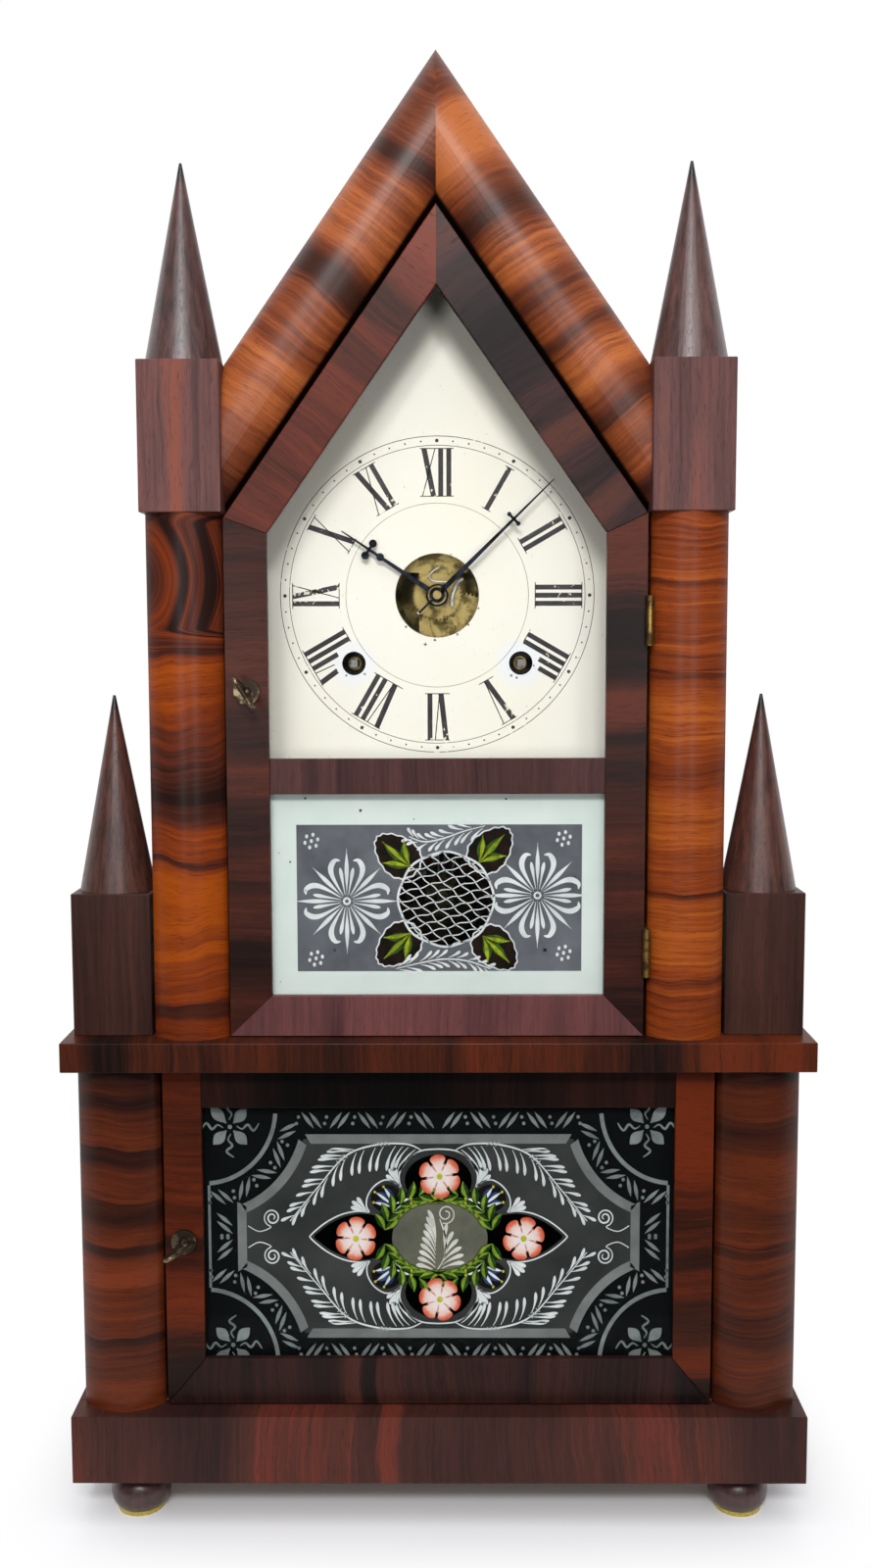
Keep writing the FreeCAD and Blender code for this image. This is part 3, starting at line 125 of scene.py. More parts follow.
# %% Sheets
class Sheet:
    """A node tree that is written into by Python expressions."""

    def __init__(self, tree):
        self.tree = tree

    def node(self, kind, settings=None, sockets=(), output=0):
        """Add a node: its settings first, then a value or a link for each socket."""
        made = self.tree.nodes.new(kind)
        for name, value in (settings or {}).items():
            if name == "stops":
                self.set_stops(made.color_ramp, value)
            else:
                setattr(made, name, value)
        pairs = sockets.items() if isinstance(sockets, dict) else enumerate(sockets)
        for key, value in pairs:
            if isinstance(value, Strand):
                self.tree.links.new(value.socket, made.inputs[key])
            else:
                made.inputs[key].default_value = value
        return Strand(self, made.outputs[output])

    @staticmethod
    def set_stops(ramp, stops):
        while len(ramp.elements) < len(stops):
            ramp.elements.new(1.0)
        for element, (position, colour) in zip(ramp.elements, stops):
            element.position = position
            element.color = colour

    def place(self):
        """Where the point lies on the object, in metres."""
        return self.node("ShaderNodeTexCoord", output="Object")

    def split(self, vector):
        parts = self.node("ShaderNodeSeparateXYZ", None, [vector])
        return parts, parts.output("Y"), parts.output("Z")

    def vector(self, x, y, z):
        return self.node("ShaderNodeCombineXYZ", None, [x, y, z])

    def noise(self, vector, scale=1.0, detail=3.0, roughness=0.5):
        return self.node("ShaderNodeTexNoise", None, {
            "Vector": vector, "Scale": scale, "Detail": detail, "Roughness": roughness})

    def fade(self, value, start, end):
        """From 0 at start to 1 at end, smoothly."""
        return self.node("ShaderNodeMapRange", {"interpolation_type": "SMOOTHSTEP"}, {
            "Value": value, "From Min": start, "From Max": end})

    def distance(self, first, second):
        return self.node("ShaderNodeVectorMath", {"operation": "DISTANCE"}, [first, second],
                         output="Value")

    def ramp(self, value, stops):
        return self.node("ShaderNodeValToRGB", {"stops": stops}, [value])

    def mix(self, factor, first, second):
        return self.node("ShaderNodeMix", {"data_type": "RGBA"},
                         {0: factor, 6: first, 7: second}, output=2)


print("a sheet can add:", [name for name in vars(Sheet) if not name.startswith("_")])

# %% Finishes
class Finish(Sheet):
    """A material with one Principled shader, whose plain values are given by name."""

    def __init__(self, name, **plain):
        self.material = bpy.data.materials.new(name)
        self.material.use_nodes = True
        super().__init__(self.material.node_tree)
        self.shader = self.tree.nodes["Principled BSDF"]
        for socket, value in plain.items():
            self.shader.inputs[socket.replace("_", " ")].default_value = value

    def feed(self, socket, strand):
        self.tree.links.new(strand.socket, self.shader.inputs[socket])

    def bump(self, height, strength, distance):
        self.feed("Normal", self.node("ShaderNodeBump", None, {
            "Height": height, "Strength": strength, "Distance": distance}))


def tone(red, green, blue):
    """A colour as a picture shows it, 0 to 255, in the linear values that shaders use."""
    shares = [part / 255 for part in (red, green, blue)]
    linear = [s / 12.92 if s <= 0.04045 else ((s + 0.055) / 1.055) ** 2.4 for s in shares]
    return (*linear, 1.0)


print("a mid red-brown in linear values:", [round(v, 3) for v in tone(120, 60, 35)])

# %% [markdown]
# Mahogany veneer.
# The case is pine under thin cross-banded veneer: the grain runs across each member, so the figure
# changes along its length in bands, with fine lines between them and short dark pores. A picture
# texture would be quicker, but noise that is stretched across the member gives the same figure at
# any size and on every face. Every leaf also has a few broad dark or light bands of its own, which
# are given as a place along the member, a width and a lift, and the noise bends their edges.

# %% Veneer
MILLIMETRES = 1 / MM
BAND_LIFT = 0.42
WHORL_SHADE = 0.13
# Painted shade for a joint: its dark colour, and the width of its soft edge in mm.
JOINT_SHADE, JOINT_SHADE_EDGE = (9, 6, 5), 1.6


def veneer(name, along, tones, start=0.0, bands=(), grain=22.0, line=0.5, swirl=3.0, coat=0.07,
           sheen=0.26, soot=None, whorl=None):
    """Veneer whose figure changes along (x, z); a band is (place and width in mm, lift from -1 to 1).

    Joint shade is painted shade along the joint beside the piece, where the gap lies in shadow, up to a
    distance in mm across the run. A whorl is a knot at (place along, place across), with curved figure
    about it up to a reach, all in mm."""
    finish = Finish(name, Coat_Weight=coat, Coat_Roughness=sheen, Specular_IOR_Level=0.1)
    x, y, z = finish.split(finish.place())
    run = (x * along[0] + z * along[1]) * MILLIMETRES
    across = (x * along[1] - z * along[0]) * MILLIMETRES
    depth = y * MILLIMETRES
    drift = finish.noise(finish.vector(run * 0.012 + start, across * 0.022, depth * 0.022), detail=2.0)
    bent = run + (drift - 0.5) * (swirl * 4)
    if whorl:
        place, aside, reach = whorl
        far = finish.distance(finish.vector(across, run * 0.6, 0), (aside, place * 0.6, 0))
        within = 1 - finish.fade(abs(run - place), reach * 0.7, reach)
        bent = bent + within * (far * 1.7 - (run - place))
    figure = finish.noise(finish.vector(bent * (1 / grain) + start, across * 0.006, depth * 0.006),
                          detail=4.0, roughness=0.58)
    lines = finish.noise(finish.vector(bent * 0.55 + start, across * 0.012, depth * 0.012),
                         detail=4.0, roughness=0.7)
    pores = finish.noise(finish.vector(bent * 2.6, across * 0.16, depth * 0.16), detail=1.0)
    value = 0.5 + (figure - 0.5) * (1.0 - line * 0.5) + (lines - 0.5) * line
    if whorl:
        value = value - within * WHORL_SHADE
    for place, width, lift in bands:
        outside = finish.fade(abs(bent + (lines - 0.5) * 9 - place), width * 0.2, width * 0.72)
        value = value + (1 - outside) * (lift * BAND_LIFT)
    dark, low, middle, light = (tone(*colour) for colour in tones)
    colour = finish.ramp(value, [(0.24, dark), (0.41, low), (0.56, middle), (0.74, light)])
    speck = finish.fade(pores, 0.60, 0.72)
    colour = finish.mix(speck * 0.5, colour, dark)
    # Painted shade: a dark band along the joint beside the piece, where the gap lies in shadow, with the
    # gloss taken away there.
    if soot:
        unshaded = finish.fade(abs(across), soot, soot + JOINT_SHADE_EDGE)
        colour = finish.mix(unshaded, tone(*JOINT_SHADE), colour)
        finish.feed("Coat Weight", unshaded * coat)
    finish.feed("Base Color", colour)
    finish.feed("Roughness", 0.4 + (lines - 0.5) * 0.22 + speck * 0.12)
    finish.bump(lines * 0.5 - speck * 0.5, 0.10, 0.0004)
    return finish.material


print("a veneer band changes the figure by up to", BAND_LIFT)

# %% Tones and directions
ROOF_TONES = ((60, 30, 20), (93, 43, 23), (133, 65, 31), (176, 97, 48))
AMBER_TONES = ((58, 24, 13), (102, 43, 19), (132, 58, 21), (164, 83, 28))
GLOW_TONES = ((36, 19, 15), (76, 34, 22), (117, 47, 16), (155, 70, 11))
STILE_TONES = ((24, 13, 11), (43, 22, 17), (62, 29, 21), (86, 40, 28))
RUST_TONES = ((42, 22, 17), (70, 33, 24), (91, 41, 29), (113, 50, 33))
DUSK_TONES = ((23, 16, 17), (40, 26, 26), (59, 36, 34), (80, 44, 36))
RAIL_TONES = ((64, 40, 42), (89, 55, 56), (106, 64, 64), (125, 75, 73))
BAR_TONES = ((39, 24, 24), (59, 36, 35), (74, 46, 44), (94, 57, 55))
BLOCK_TONES = ((46, 32, 31), (78, 53, 52), (102, 66, 63), (128, 70, 56))
LOW_BLOCK_TONES = ((36, 22, 18), (52, 31, 26), (66, 39, 33), (82, 49, 42))
SHELF_TONES = ((22, 14, 12), (50, 23, 15), (72, 32, 18), (97, 40, 20))
PLINTH_TONES = ((40, 24, 21), (57, 32, 28), (72, 39, 32), (103, 46, 35))
RUSSET_TONES = ((35, 17, 14), (64, 29, 17), (90, 39, 19), (114, 50, 25))
EMBER_TONES = ((30, 16, 12), (55, 24, 13), (83, 32, 14), (104, 40, 16))
# The lower door's top rail sits just under the shelf: its very dark tones are partly its own dark veneer
# and partly painted shade from the shelf.
SHADE_TONES = ((8, 5, 5), (20, 10, 8), (32, 16, 12), (46, 22, 16))
FOOT_RAIL_TONES = ((20, 13, 13), (34, 20, 19), (49, 27, 23), (69, 36, 29))

ROOF_HALF_ANGLE = math.radians(35.13)
DOWN_LEFT = (-math.sin(ROOF_HALF_ANGLE), -math.cos(ROOF_HALF_ANGLE))
DOWN_RIGHT = (math.sin(ROOF_HALF_ANGLE), -math.cos(ROOF_HALF_ANGLE))
UP = (0.0, 1.0)
SIDEWAYS = (1.0, 0.0)
print("roof half angle in degrees:", round(math.degrees(ROOF_HALF_ANGLE), 1))

# %% [markdown]
# Softening the joinery.
# The frame's boards have perfectly sharp edges, and a sharp edge never catches light. Each wooden
# piece is copied, its flat faces are joined up again, and its long edges get a small rounding. The
# copy stands for the bare piece and rides on the same body, so doors still carry their own wood.

# %% A helper that softens a wooden piece
LEAST_BEVEL_EDGE = 12 * MM
SHARP, CREASE = math.radians(30), math.radians(15)
slot_of = {name: shown.material_slots[0].material.name for name, shown in frame["nodes"].items()}
node_body = {name: body for body, names in frame["record"]["behaviour"]["bodies"].items()
             for name in names}


def stand(name, form, finishes, body):
    """Turn a form into a piece of the clock, which rides on a body."""
    mesh = bpy.data.meshes.new(name)
    form.to_mesh(mesh)
    form.free()
    for finish in finishes:
        mesh.materials.append(finish)
    piece = bpy.data.objects.new(name, mesh)
    bpy.context.scene.collection.objects.link(piece)
    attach(piece, body)
    return piece


def right_half(middle):
    return middle.x > 0


def softened(node, finishes, rounding=0.45, second=right_half):
    """A copy of a piece with eased edges; a second finish goes to the faces that a rule picks."""
    form = bmesh.new()
    form.from_mesh(frame["nodes"][node].data)
    bmesh.ops.remove_doubles(form, verts=form.verts, dist=1e-6)
    bmesh.ops.dissolve_limit(form, angle_limit=math.radians(0.5), verts=form.verts,
                             edges=form.edges)
    edges = [edge for edge in form.edges
             if edge.calc_length() > LEAST_BEVEL_EDGE and edge.calc_face_angle(0) > SHARP]
    bmesh.ops.bevel(form, geom=edges, offset=rounding * MM, segments=2, profile=0.5,
                    affect="EDGES", clamp_overlap=True)
    for face in form.faces:
        face.smooth = True
        face.material_index = int(len(finishes) > 1 and second(face.calc_center_median()))
    piece = stand(node + "_wood", form, finishes, node_body[node])
    piece.data.set_sharp_from_angle(angle=CREASE)
    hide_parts(node)
    return len(edges)


print("bodies that carry pieces:", len(set(node_body.values())))

# %% [markdown]
# The veneered pieces.
# On the real case the two roof mouldings, the two columns of a pair and the two stiles of a door
# came from different leaves of veneer, so left and right differ: the left roof moulding is an even
# orange with a few dark bands, the right one has many streaks, and the right gable rail is nearly
# black. A piece that holds both sides therefore takes two finishes, split at the middle.

# %% Veneered members
LEFT_MOULDING = ((-541, 26, -0.3), (-496, 5, -0.6), (-468, 34, 0.25), (-435, 15, -0.6), (-384, 42, 0.3),
                 (-340, 26, -0.4))
RIGHT_MOULDING = ((-540, 26, -0.1), (-503, 32, 0.6), (-467, 16, -0.45), (-445, 18, 0.5), (-427, 4, -0.3),
                  (-408, 5, -0.35), (-392, 18, 0.5), (-370, 6, -0.35), (-334, 14, -0.45))
LEFT_COLUMN = ((241, 7, -0.4), (284, 50, 0.5), (310, 4, -0.5), (340, 22, -0.4), (380, 42, 0.15),
               (405, 4, -0.5), (436, 16, -0.1), (468, 8, -0.55), (488, 7, -0.55))
RIGHT_COLUMN = ((254, 3, -0.5), (278, 28, 0.35), (295, 3, -0.5), (330, 26, 0.4), (374, 24, 0.3),
                (392, 3, -0.4), (416, 34, 0.1), (434, 4, -0.5))
LEFT_STILE = ((264, 22, -0.4), (298, 8, -0.35), (312, 10, 0.3), (346, 14, 0.3), (446, 6, -0.3))
RIGHT_STILE = ((240, 28, -0.45), (312, 18, 0.3), (364, 6, -0.5), (379, 19, 0.75), (408, 34, -0.8),
               (450, 34, 0.5))
LEFT_LOW_COLUMN = ((86, 5, -0.4), (120, 14, 0.4), (131, 5, -0.4), (147, 9, -0.4), (173, 8, -0.5),
                   (197, 5, -0.3), (213, 8, -0.4))
RIGHT_LOW_COLUMN = ((88, 8, -0.25), (129, 5, -0.45), (182, 16, -0.35), (212, 10, -0.5))
LEFT_LOW_STILE = ((70, 34, -0.6), (106, 26, 0.25), (132, 8, -0.4), (180, 28, 0.25))
RIGHT_LOW_STILE = ((60, 12, -0.4), (122, 8, -0.5), (186, 46, 0.7))
SHELF_FRONT = ((-148, 22, -0.6), (-100, 50, 0.12), (10, 30, 0.2), (92, 40, -0.35), (145, 60, 0.5))
PLINTH_FRONT = ((-116, 34, -0.4), (-64, 34, 0.25), (-22, 10, 0.75), (30, 80, -0.25), (86, 14, 0.12),
                (122, 14, 0.1), (155, 30, -0.4))
LOW_TOP_RAIL = ((-95, 26, 0.2), (-30, 90, -0.5), (80, 50, 0.2))
LOW_BOTTOM_RAIL = ((-118, 16, -0.5), (-40, 8, 0.5), (-31, 8, -0.7), (118, 18, -0.5))
LEFT_RAIL = ((-472, 46, 0.6), (-438, 18, -0.6))
RIGHT_RAIL = ((-470, 14, 0.35), (-428, 56, -0.4), (-376, 14, 0.45), (-340, 12, 0.5))
BLOCK_STREAKS = ((-115, 11, 0.34), (118, 12, 0.3))
# The roof mouldings get a band of painted shade along their inner edge, at the joint with the door.
ROOF_GLOSS = {"coat": 0.45, "sheen": 0.4, "soot": 345.9}
VENEERED = {
    "gable_mouldings": [
        veneer("left_moulding", DOWN_LEFT, ROOF_TONES, 3.1, LEFT_MOULDING, **ROOF_GLOSS),
        veneer("right_moulding", DOWN_RIGHT, ROOF_TONES, 11.4, RIGHT_MOULDING, **ROOF_GLOSS)],
    "upper_columns": [
        veneer("left_upper_column", UP, GLOW_TONES, 5.2, LEFT_COLUMN, 30, 0.5, 6, whorl=(436, -130, 32)),
        veneer("right_upper_column", UP, AMBER_TONES, 23.7, RIGHT_COLUMN, line=0.75)],
    "lower_columns": [
        veneer("left_lower_column", UP, RUSSET_TONES, 7.9, LEFT_LOW_COLUMN),
        veneer("right_lower_column", UP, RUSSET_TONES, 17.3, RIGHT_LOW_COLUMN)],
    "upper_door_stiles": [
        veneer("left_upper_stile", UP, STILE_TONES, 2.4, LEFT_STILE),
        veneer("right_upper_stile", UP, STILE_TONES, 13.6, RIGHT_STILE)],
    "upper_door_gable_rails": [
        veneer("left_gable_rail", DOWN_LEFT, RUST_TONES, 9.5, LEFT_RAIL),
        veneer("right_gable_rail", DOWN_RIGHT, DUSK_TONES, 19.2, RIGHT_RAIL)],
    "upper_door_crossbar": [
        veneer("crossbar", SIDEWAYS, BAR_TONES, 4.4, grain=9, line=0.5, swirl=1)],
    "upper_door_bottom_rail": [
        veneer("upper_bottom_rail", SIDEWAYS, RAIL_TONES, 6.1, grain=16, line=0.45, swirl=1)],
    "lower_door_stiles": [
        veneer("left_lower_stile", UP, EMBER_TONES, 8.8, LEFT_LOW_STILE),
        veneer("right_lower_stile", UP, EMBER_TONES, 15.5, RIGHT_LOW_STILE)],
    "lower_door_top_rail": [
        veneer("lower_top_rail", SIDEWAYS, SHADE_TONES, 1.2, LOW_TOP_RAIL, swirl=2)],
    "lower_door_bottom_rail": [
        veneer("lower_bottom_rail", SIDEWAYS, FOOT_RAIL_TONES, 21.4, LOW_BOTTOM_RAIL, swirl=2)],
    "shelf": [
        veneer("shelf_veneer", SIDEWAYS, SHELF_TONES, 2.9, SHELF_FRONT, swirl=2)],
    "plinth_front": [
        veneer("plinth_veneer", SIDEWAYS, PLINTH_TONES, 12.7, PLINTH_FRONT, 30)],
    "plinth_returns": [
        veneer("plinth_end_veneer", UP, PLINTH_TONES, 3.3, line=0.5)],
    "upper_blocks": [
        veneer("upper_block_veneer", SIDEWAYS, BLOCK_TONES, 6.6, BLOCK_STREAKS, 12, swirl=1)],
    "lower_blocks": [
        veneer("lower_block_veneer", SIDEWAYS, LOW_BLOCK_TONES, 14.2, grain=12, line=0.5, swirl=1)],
    "upper_sides": [
        veneer("upper_side_veneer", UP, STILE_TONES, 10.3, grain=40, line=0.3)],
    "lower_sides": [
        veneer("lower_side_veneer", UP, STILE_TONES, 16.9, grain=40, line=0.3)],
    "roof_boards": [
        veneer("roof_board_veneer", UP, STILE_TONES, 18.1, grain=34, line=0.35)],
}
eased = {node: softened(node, finishes) for node, finishes in VENEERED.items()}
print("eased edges:", eased)

# %% [markdown]
# Turned cones, feet and plain boards.
# The steeples are turned from solid wood, so their grain runs up the cone and shows as fine upright
# lines with open pores, under a satin finish that has gone dark at the tips. The back boards and
# the inside are plain pine, stained or raw, with grain along the boards and a few dark rings.

# %% Turned wood
PORE_BROWN, TIP_BLACK = (34, 20, 18), (16, 13, 13)
TIP_FADE = (14 * MM, 2 * MM)


def turned(name, dark, light, tip=None, coat=0.3, sheen=0.3):
    """Solid turned wood: grain upright, satin, darker towards a tip whose height is in metres."""
    finish = Finish(name, Coat_Weight=coat, Coat_Roughness=sheen, Specular_IOR_Level=0.5)
    x, y, z = finish.split(finish.place())
    fibre = finish.noise(finish.vector(x * 420, y * 420, z * 14), detail=4.0, roughness=0.6)
    cloud = finish.noise(finish.vector(x * 30, y * 30, z * 18), detail=2.0)
    pores = finish.fade(finish.noise(finish.vector(x * 1400, y * 1400, z * 260), detail=1.0),
                        0.56, 0.68)
    colour = finish.ramp(fibre * 0.6 + cloud * 0.4, [(0.36, tone(*dark)), (0.64, tone(*light))])
    worn = finish.mix(pores * 0.5, colour, tone(*PORE_BROWN))
    if tip:
        handled = finish.fade(z, *(tip - below for below in TIP_FADE))
        worn = finish.mix(handled, worn, tone(*TIP_BLACK))
    finish.feed("Base Color", worn)
    finish.feed("Roughness", 0.38 + (fibre - 0.5) * 0.2 + pores * 0.15)
    finish.bump(fibre * 0.4 - pores, 0.16, 0.0004)
    return finish.material


CONES = {"upper_steeples": ((52, 34, 33), (102, 66, 62), 0.8, 0.42),
         "lower_steeples": ((48, 28, 25), (98, 58, 48), 0.3, 0.3)}
for node, (dark, light, coat, sheen) in CONES.items():
    softened(node, [turned(node + "_satin", dark, light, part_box(node)[1].z, coat, sheen)], 0.3)
softened("bun_feet", [turned("foot_satin", (40, 24, 22), (76, 44, 38))], 0.3)
print("turned:", list(CONES), "and the feet")

# %% Pine boards
RAW_PINE = ((120, 86, 54), (176, 138, 94))


def pine(name, dark, light, level=False):
    """Plain pine board, grain upright or level, with wandering dark growth rings."""
    finish = Finish(name, Specular_IOR_Level=0.25)
    x, y, z = finish.split(finish.place())
    if level:
        x, y, z = y, z, x
    drift = finish.noise(finish.vector(x * 8, y * 8, z * 2.2), detail=2.0)
    rings = finish.noise(finish.vector(x * 110 + drift * 6, y * 40, z * 1.6), detail=3.0)
    fibre = finish.noise(finish.vector(x * 900, y * 900, z * 20), detail=2.0)
    value = rings * 0.75 + fibre * 0.25
    finish.feed("Base Color", finish.ramp(value, [(0.34, tone(*dark)), (0.6, tone(*light))]))
    finish.feed("Roughness", 0.62 + fibre * 0.2)
    finish.bump(value, 0.2, 0.0005)
    return finish.material


stained = pine("stained_pine_boards", (58, 36, 24), (106, 70, 44))
raw = pine("raw_pine_strips", *RAW_PINE)
raw_level = pine("raw_pine_base", *RAW_PINE, True)
BOARDS = {"upper_back_board": stained, "lower_back_board": stained, "base_board": raw_level,
          "dial_strips": raw}
for node, finish in BOARDS.items():
    softened(node, [finish])
print("boards:", list(BOARDS))

# %% [markdown]
# Metals, felt and the painted dial plate.
# Old brass is not one colour: it is dull olive where it has tarnished and bright where it has been
# handled. The same recipe with other tones gives iron and steel. Each is a metal whose colour and
# roughness drift together, with fine scratches from the file in its bump.

# %% Metals
def metal(name, bright, tarnish, rough=0.34, share=0.5, metallic=1.0):
    """A metal that has tarnished in patches; share is how much of it is dull."""
    finish = Finish(name, Metallic=metallic)
    place = finish.place()
    x, y, z = finish.split(place)
    patches = finish.noise(place, scale=140, detail=4.0, roughness=0.6)
    file_marks = finish.noise(finish.vector(x * 400, y * 400, z * 4200), detail=2.0)
    dull = finish.fade(patches, 0.62 - share * 0.34, 0.78 - share * 0.34)
    finish.feed("Base Color", finish.mix(dull, tone(*bright), tone(*tarnish)))
    finish.feed("Roughness", rough + dull * 0.24 + (file_marks - 0.5) * 0.2)
    finish.bump(file_marks, 0.12, 0.0002)
    return finish.material


METALS = {
    "brass": metal("aged_brass", (158, 140, 88), (108, 96, 58)),
    "latch_metal": metal("tarnished_latch", (150, 132, 104), (70, 60, 50), 0.36, 0.7),
    "spring_steel": metal("oiled_steel", (150, 150, 150), (84, 82, 80), 0.3, 0.4),
    "black_iron": metal("japanned_iron", (52, 50, 50), (28, 26, 26), 0.5, 0.6),
    "blued_steel": metal("blue_black_steel", (38, 42, 54), (22, 22, 26), 0.32, 0.5),
}
HINGE_BRASS = metal("hinge_brass", (158, 128, 70), (84, 66, 42), 0.4, 0.6)


def dress(node, material):
    for holder in frame["nodes"][node].material_slots:
        holder.material = material


dressed = []
for node, slot in slot_of.items():
    if slot in METALS:
        dress(node, METALS[slot])
        dressed.append(node)
for node in ("hinge_case_leaves", "hinge_door_leaves"):
    dress(node, HINGE_BRASS)
# The bob's brass is darker than the movement's: painted shade for the dark inside of the case.
dress("pendulum_bob", metal("dull_bob_brass", (112, 104, 70), (66, 60, 38), 0.5))
print("metal pieces dressed:", len(dressed))

# %% Pieces of two metals
PLATE_FACE = -5.0
HAND_HEIGHT = 429.0
PIN_ALONG, PIN_UP = 0.70, 0.714
PIN_INNER, PIN_HALF_WIDTH = 1.6, 0.75
GREAT_WHEELS = ("time_great_wheel", "strike_great_wheel")


def before_plate(middle):
    """True on a winding square, which stands out in front of the front plate."""
    return middle.y < (PLATE_FACE - 0.2) * MM


def taper_pin(middle):
    """True on the steel pin through the end of the hands' arbor, left of the arbor itself."""
    off_line = PIN_UP * (middle.z - HAND_HEIGHT * MM) - PIN_ALONG * middle.x
    return middle.x < -PIN_INNER * MM and abs(off_line) < PIN_HALF_WIDTH * MM


bright_steel = metal("bright_steel", (214, 214, 218), (170, 170, 172), 0.3, 0.3, metallic=0.3)
winding_steel = metal("winding_steel", (120, 120, 118), (66, 64, 60), 0.34, 0.5)
for node in GREAT_WHEELS:
    softened(node, [METALS["brass"], winding_steel], 0.1, before_plate)
softened("minute_hand", [METALS["blued_steel"], bright_steel], 0.05, taper_pin)
print("pieces of two metals:", GREAT_WHEELS, "and the minute hand")

# %% Felt and glass
felt = Finish("olive_felt", Sheen_Weight=0.3, Specular_IOR_Level=0.1)
fuzz = felt.noise(felt.place(), scale=1800, detail=3.0)
felt.feed("Base Color", felt.ramp(fuzz, [(0.35, tone(142, 124, 44)), (0.65, tone(196, 176, 84))]))
felt.feed("Roughness", 0.85 + (fuzz - 0.5) * 0.2)
felt.bump(fuzz, 0.5, 0.0004)
dress("felt_pads", felt.material)


def old_glass(name, veil, alpha):
    """Thin window glass: almost clear, with a faint veil and slow waves in its surface."""
    finish = Finish(name, Base_Color=tone(*veil), Specular_IOR_Level=0.5, Alpha=alpha)
    waves = finish.noise(finish.place(), scale=16, detail=1.0)
    finish.feed("Roughness", 0.04 + waves * 0.05)
    finish.bump(waves, 0.08, 0.002)
    return finish.material


TABLETS = ("upper_tablet", "lower_tablet")
dress("dial_glass", old_glass("clear_dial_glass", (40, 46, 40), 0.03))
for node in TABLETS:
    dress(node, old_glass(node + "_glass", (20, 24, 24), 0.04))
print("glass panes:", 1 + len(TABLETS))

# %% Dial paint
DIAL_Z = HAND_HEIGHT
HOLE_X, HOLE_Z = 39.0, DIAL_Z - 31.4
WINDING_HOLES = ((-HOLE_X, HOLE_Z), (HOLE_X, HOLE_Z))
dial_paint = Finish("cream_dial_paint", Coat_Weight=0.1, Coat_Roughness=0.3)
place = dial_paint.place()
x, y, z = dial_paint.split(place)
cloud = dial_paint.noise(place, scale=14, detail=4.0)
speckle = dial_paint.noise(place, scale=900, detail=2.0)
cream = dial_paint.ramp(cloud, [(0.34, tone(246, 243, 226)), (0.66, tone(250, 248, 236))])
from_hole = dial_paint.distance(dial_paint.vector(abs(x), 0, z), (HOLE_X * MM, 0, HOLE_Z * MM))
rubbed = 1 - dial_paint.fade(from_hole + (cloud - 0.5) * 0.012, 0.006, 0.014)
pale = dial_paint.mix(rubbed * 0.8, cream, tone(240, 244, 250))
fly_spots = dial_paint.fade(speckle, 0.71, 0.76)
dial_paint.feed("Base Color", dial_paint.mix(fly_spots * 0.5, pale, tone(150, 132, 96)))
dial_paint.feed("Roughness", 0.42 + (cloud - 0.5) * 0.25)
dial_paint.bump(speckle, 0.05, 0.0003)
dress("dial", dial_paint.material)
print("dial centre and winding holes in mm:", DIAL_Z, WINDING_HOLES)

# %% [markdown]
# Flat painted shapes.
# The dial's printing and the pictures on the glass are flat paint, but paint has a thickness and an
# edge. Each mark is therefore a thin closed solid, cut from an outline in the plane of the dial or
# the glass. A brush stroke is a curved centre line with a width that swells and tapers, and nearly
# every leaf, petal and fern frond below is such a stroke.

# %% Outlines
def oval(x, z, half_width, half_height=None, sides=24):
    half_height = half_height or half_width
    turns = [2 * math.pi * i / sides for i in range(sides)]
    return [(x + half_width * math.cos(t), z + half_height * math.sin(t)) for t in turns]


def hoop(x, z, radius, width, sides=96):
    """A ring as an outer and an inner loop."""
    return [oval(x, z, radius + width / 2, sides=sides), oval(x, z, radius - width / 2, sides=sides)]


def bar(x0, z0, x1, z1):
    return [(x0, z0), (x1, z0), (x1, z1), (x0, z1)]


def ribbon(line, widths):
    """An outline that follows a line of points, with a width at each."""
    left, right = [], []
    for i, (x, z) in enumerate(line):
        ahead, behind = line[min(i + 1, len(line) - 1)], line[max(i - 1, 0)]
        dx, dz = ahead[0] - behind[0], ahead[1] - behind[1]
        length = math.hypot(dx, dz) or 1.0
        half = widths[i] / 2
        left.append((x - dz / length * half, z + dx / length * half))
        right.append((x + dz / length * half, z - dx / length * half))
    return left + right[::-1]


def even(count):
    return [i / (count - 1) for i in range(count)]


def bent_line(root, tip, bend, steps):
    """Points from root to tip, bowed sideways by bend times the length."""
    dx, dz = tip[0] - root[0], tip[1] - root[1]
    middle = ((root[0] + tip[0]) / 2 - dz * bend, (root[1] + tip[1]) / 2 + dx * bend)
    points = []
    for t in steps:
        a, b, c = (1 - t) ** 2, 2 * t * (1 - t), t * t
        points.append((a * root[0] + b * middle[0] + c * tip[0],
                       a * root[1] + b * middle[1] + c * tip[1]))
    return points


def stroke(root, tip, width, bend=0.0, belly=0.5, keen=1.0, count=9):
    """One brush stroke, pointed at both ends; belly is how far along it is widest."""
    power = math.log(0.5) / math.log(belly)
    widths = [width * max(math.sin(math.pi * t ** power) ** keen, 0.06) for t in even(count)]
    return ribbon(bent_line(root, tip, bend, even(count)), widths)


FULLEST = 0.76
ROUND_END = (0.0, 0.2, 0.4, 0.6, FULLEST, 0.86, 0.93, 0.98, 1.0)


def drop(root, tip, width, bend=0.0):
    """A stroke that starts thin and ends full and round, as a loaded brush leaves it."""
    widths = []
    for t in ROUND_END:
        swell = 0.14 + 0.86 * min(t / FULLEST, 1.0) ** 1.5
        close = math.sqrt(max(1 - (max(t - FULLEST, 0) / (1 - FULLEST)) ** 2, 0.03))
        widths.append(width * swell * close)
    return ribbon(bent_line(root, tip, bend, ROUND_END), widths)


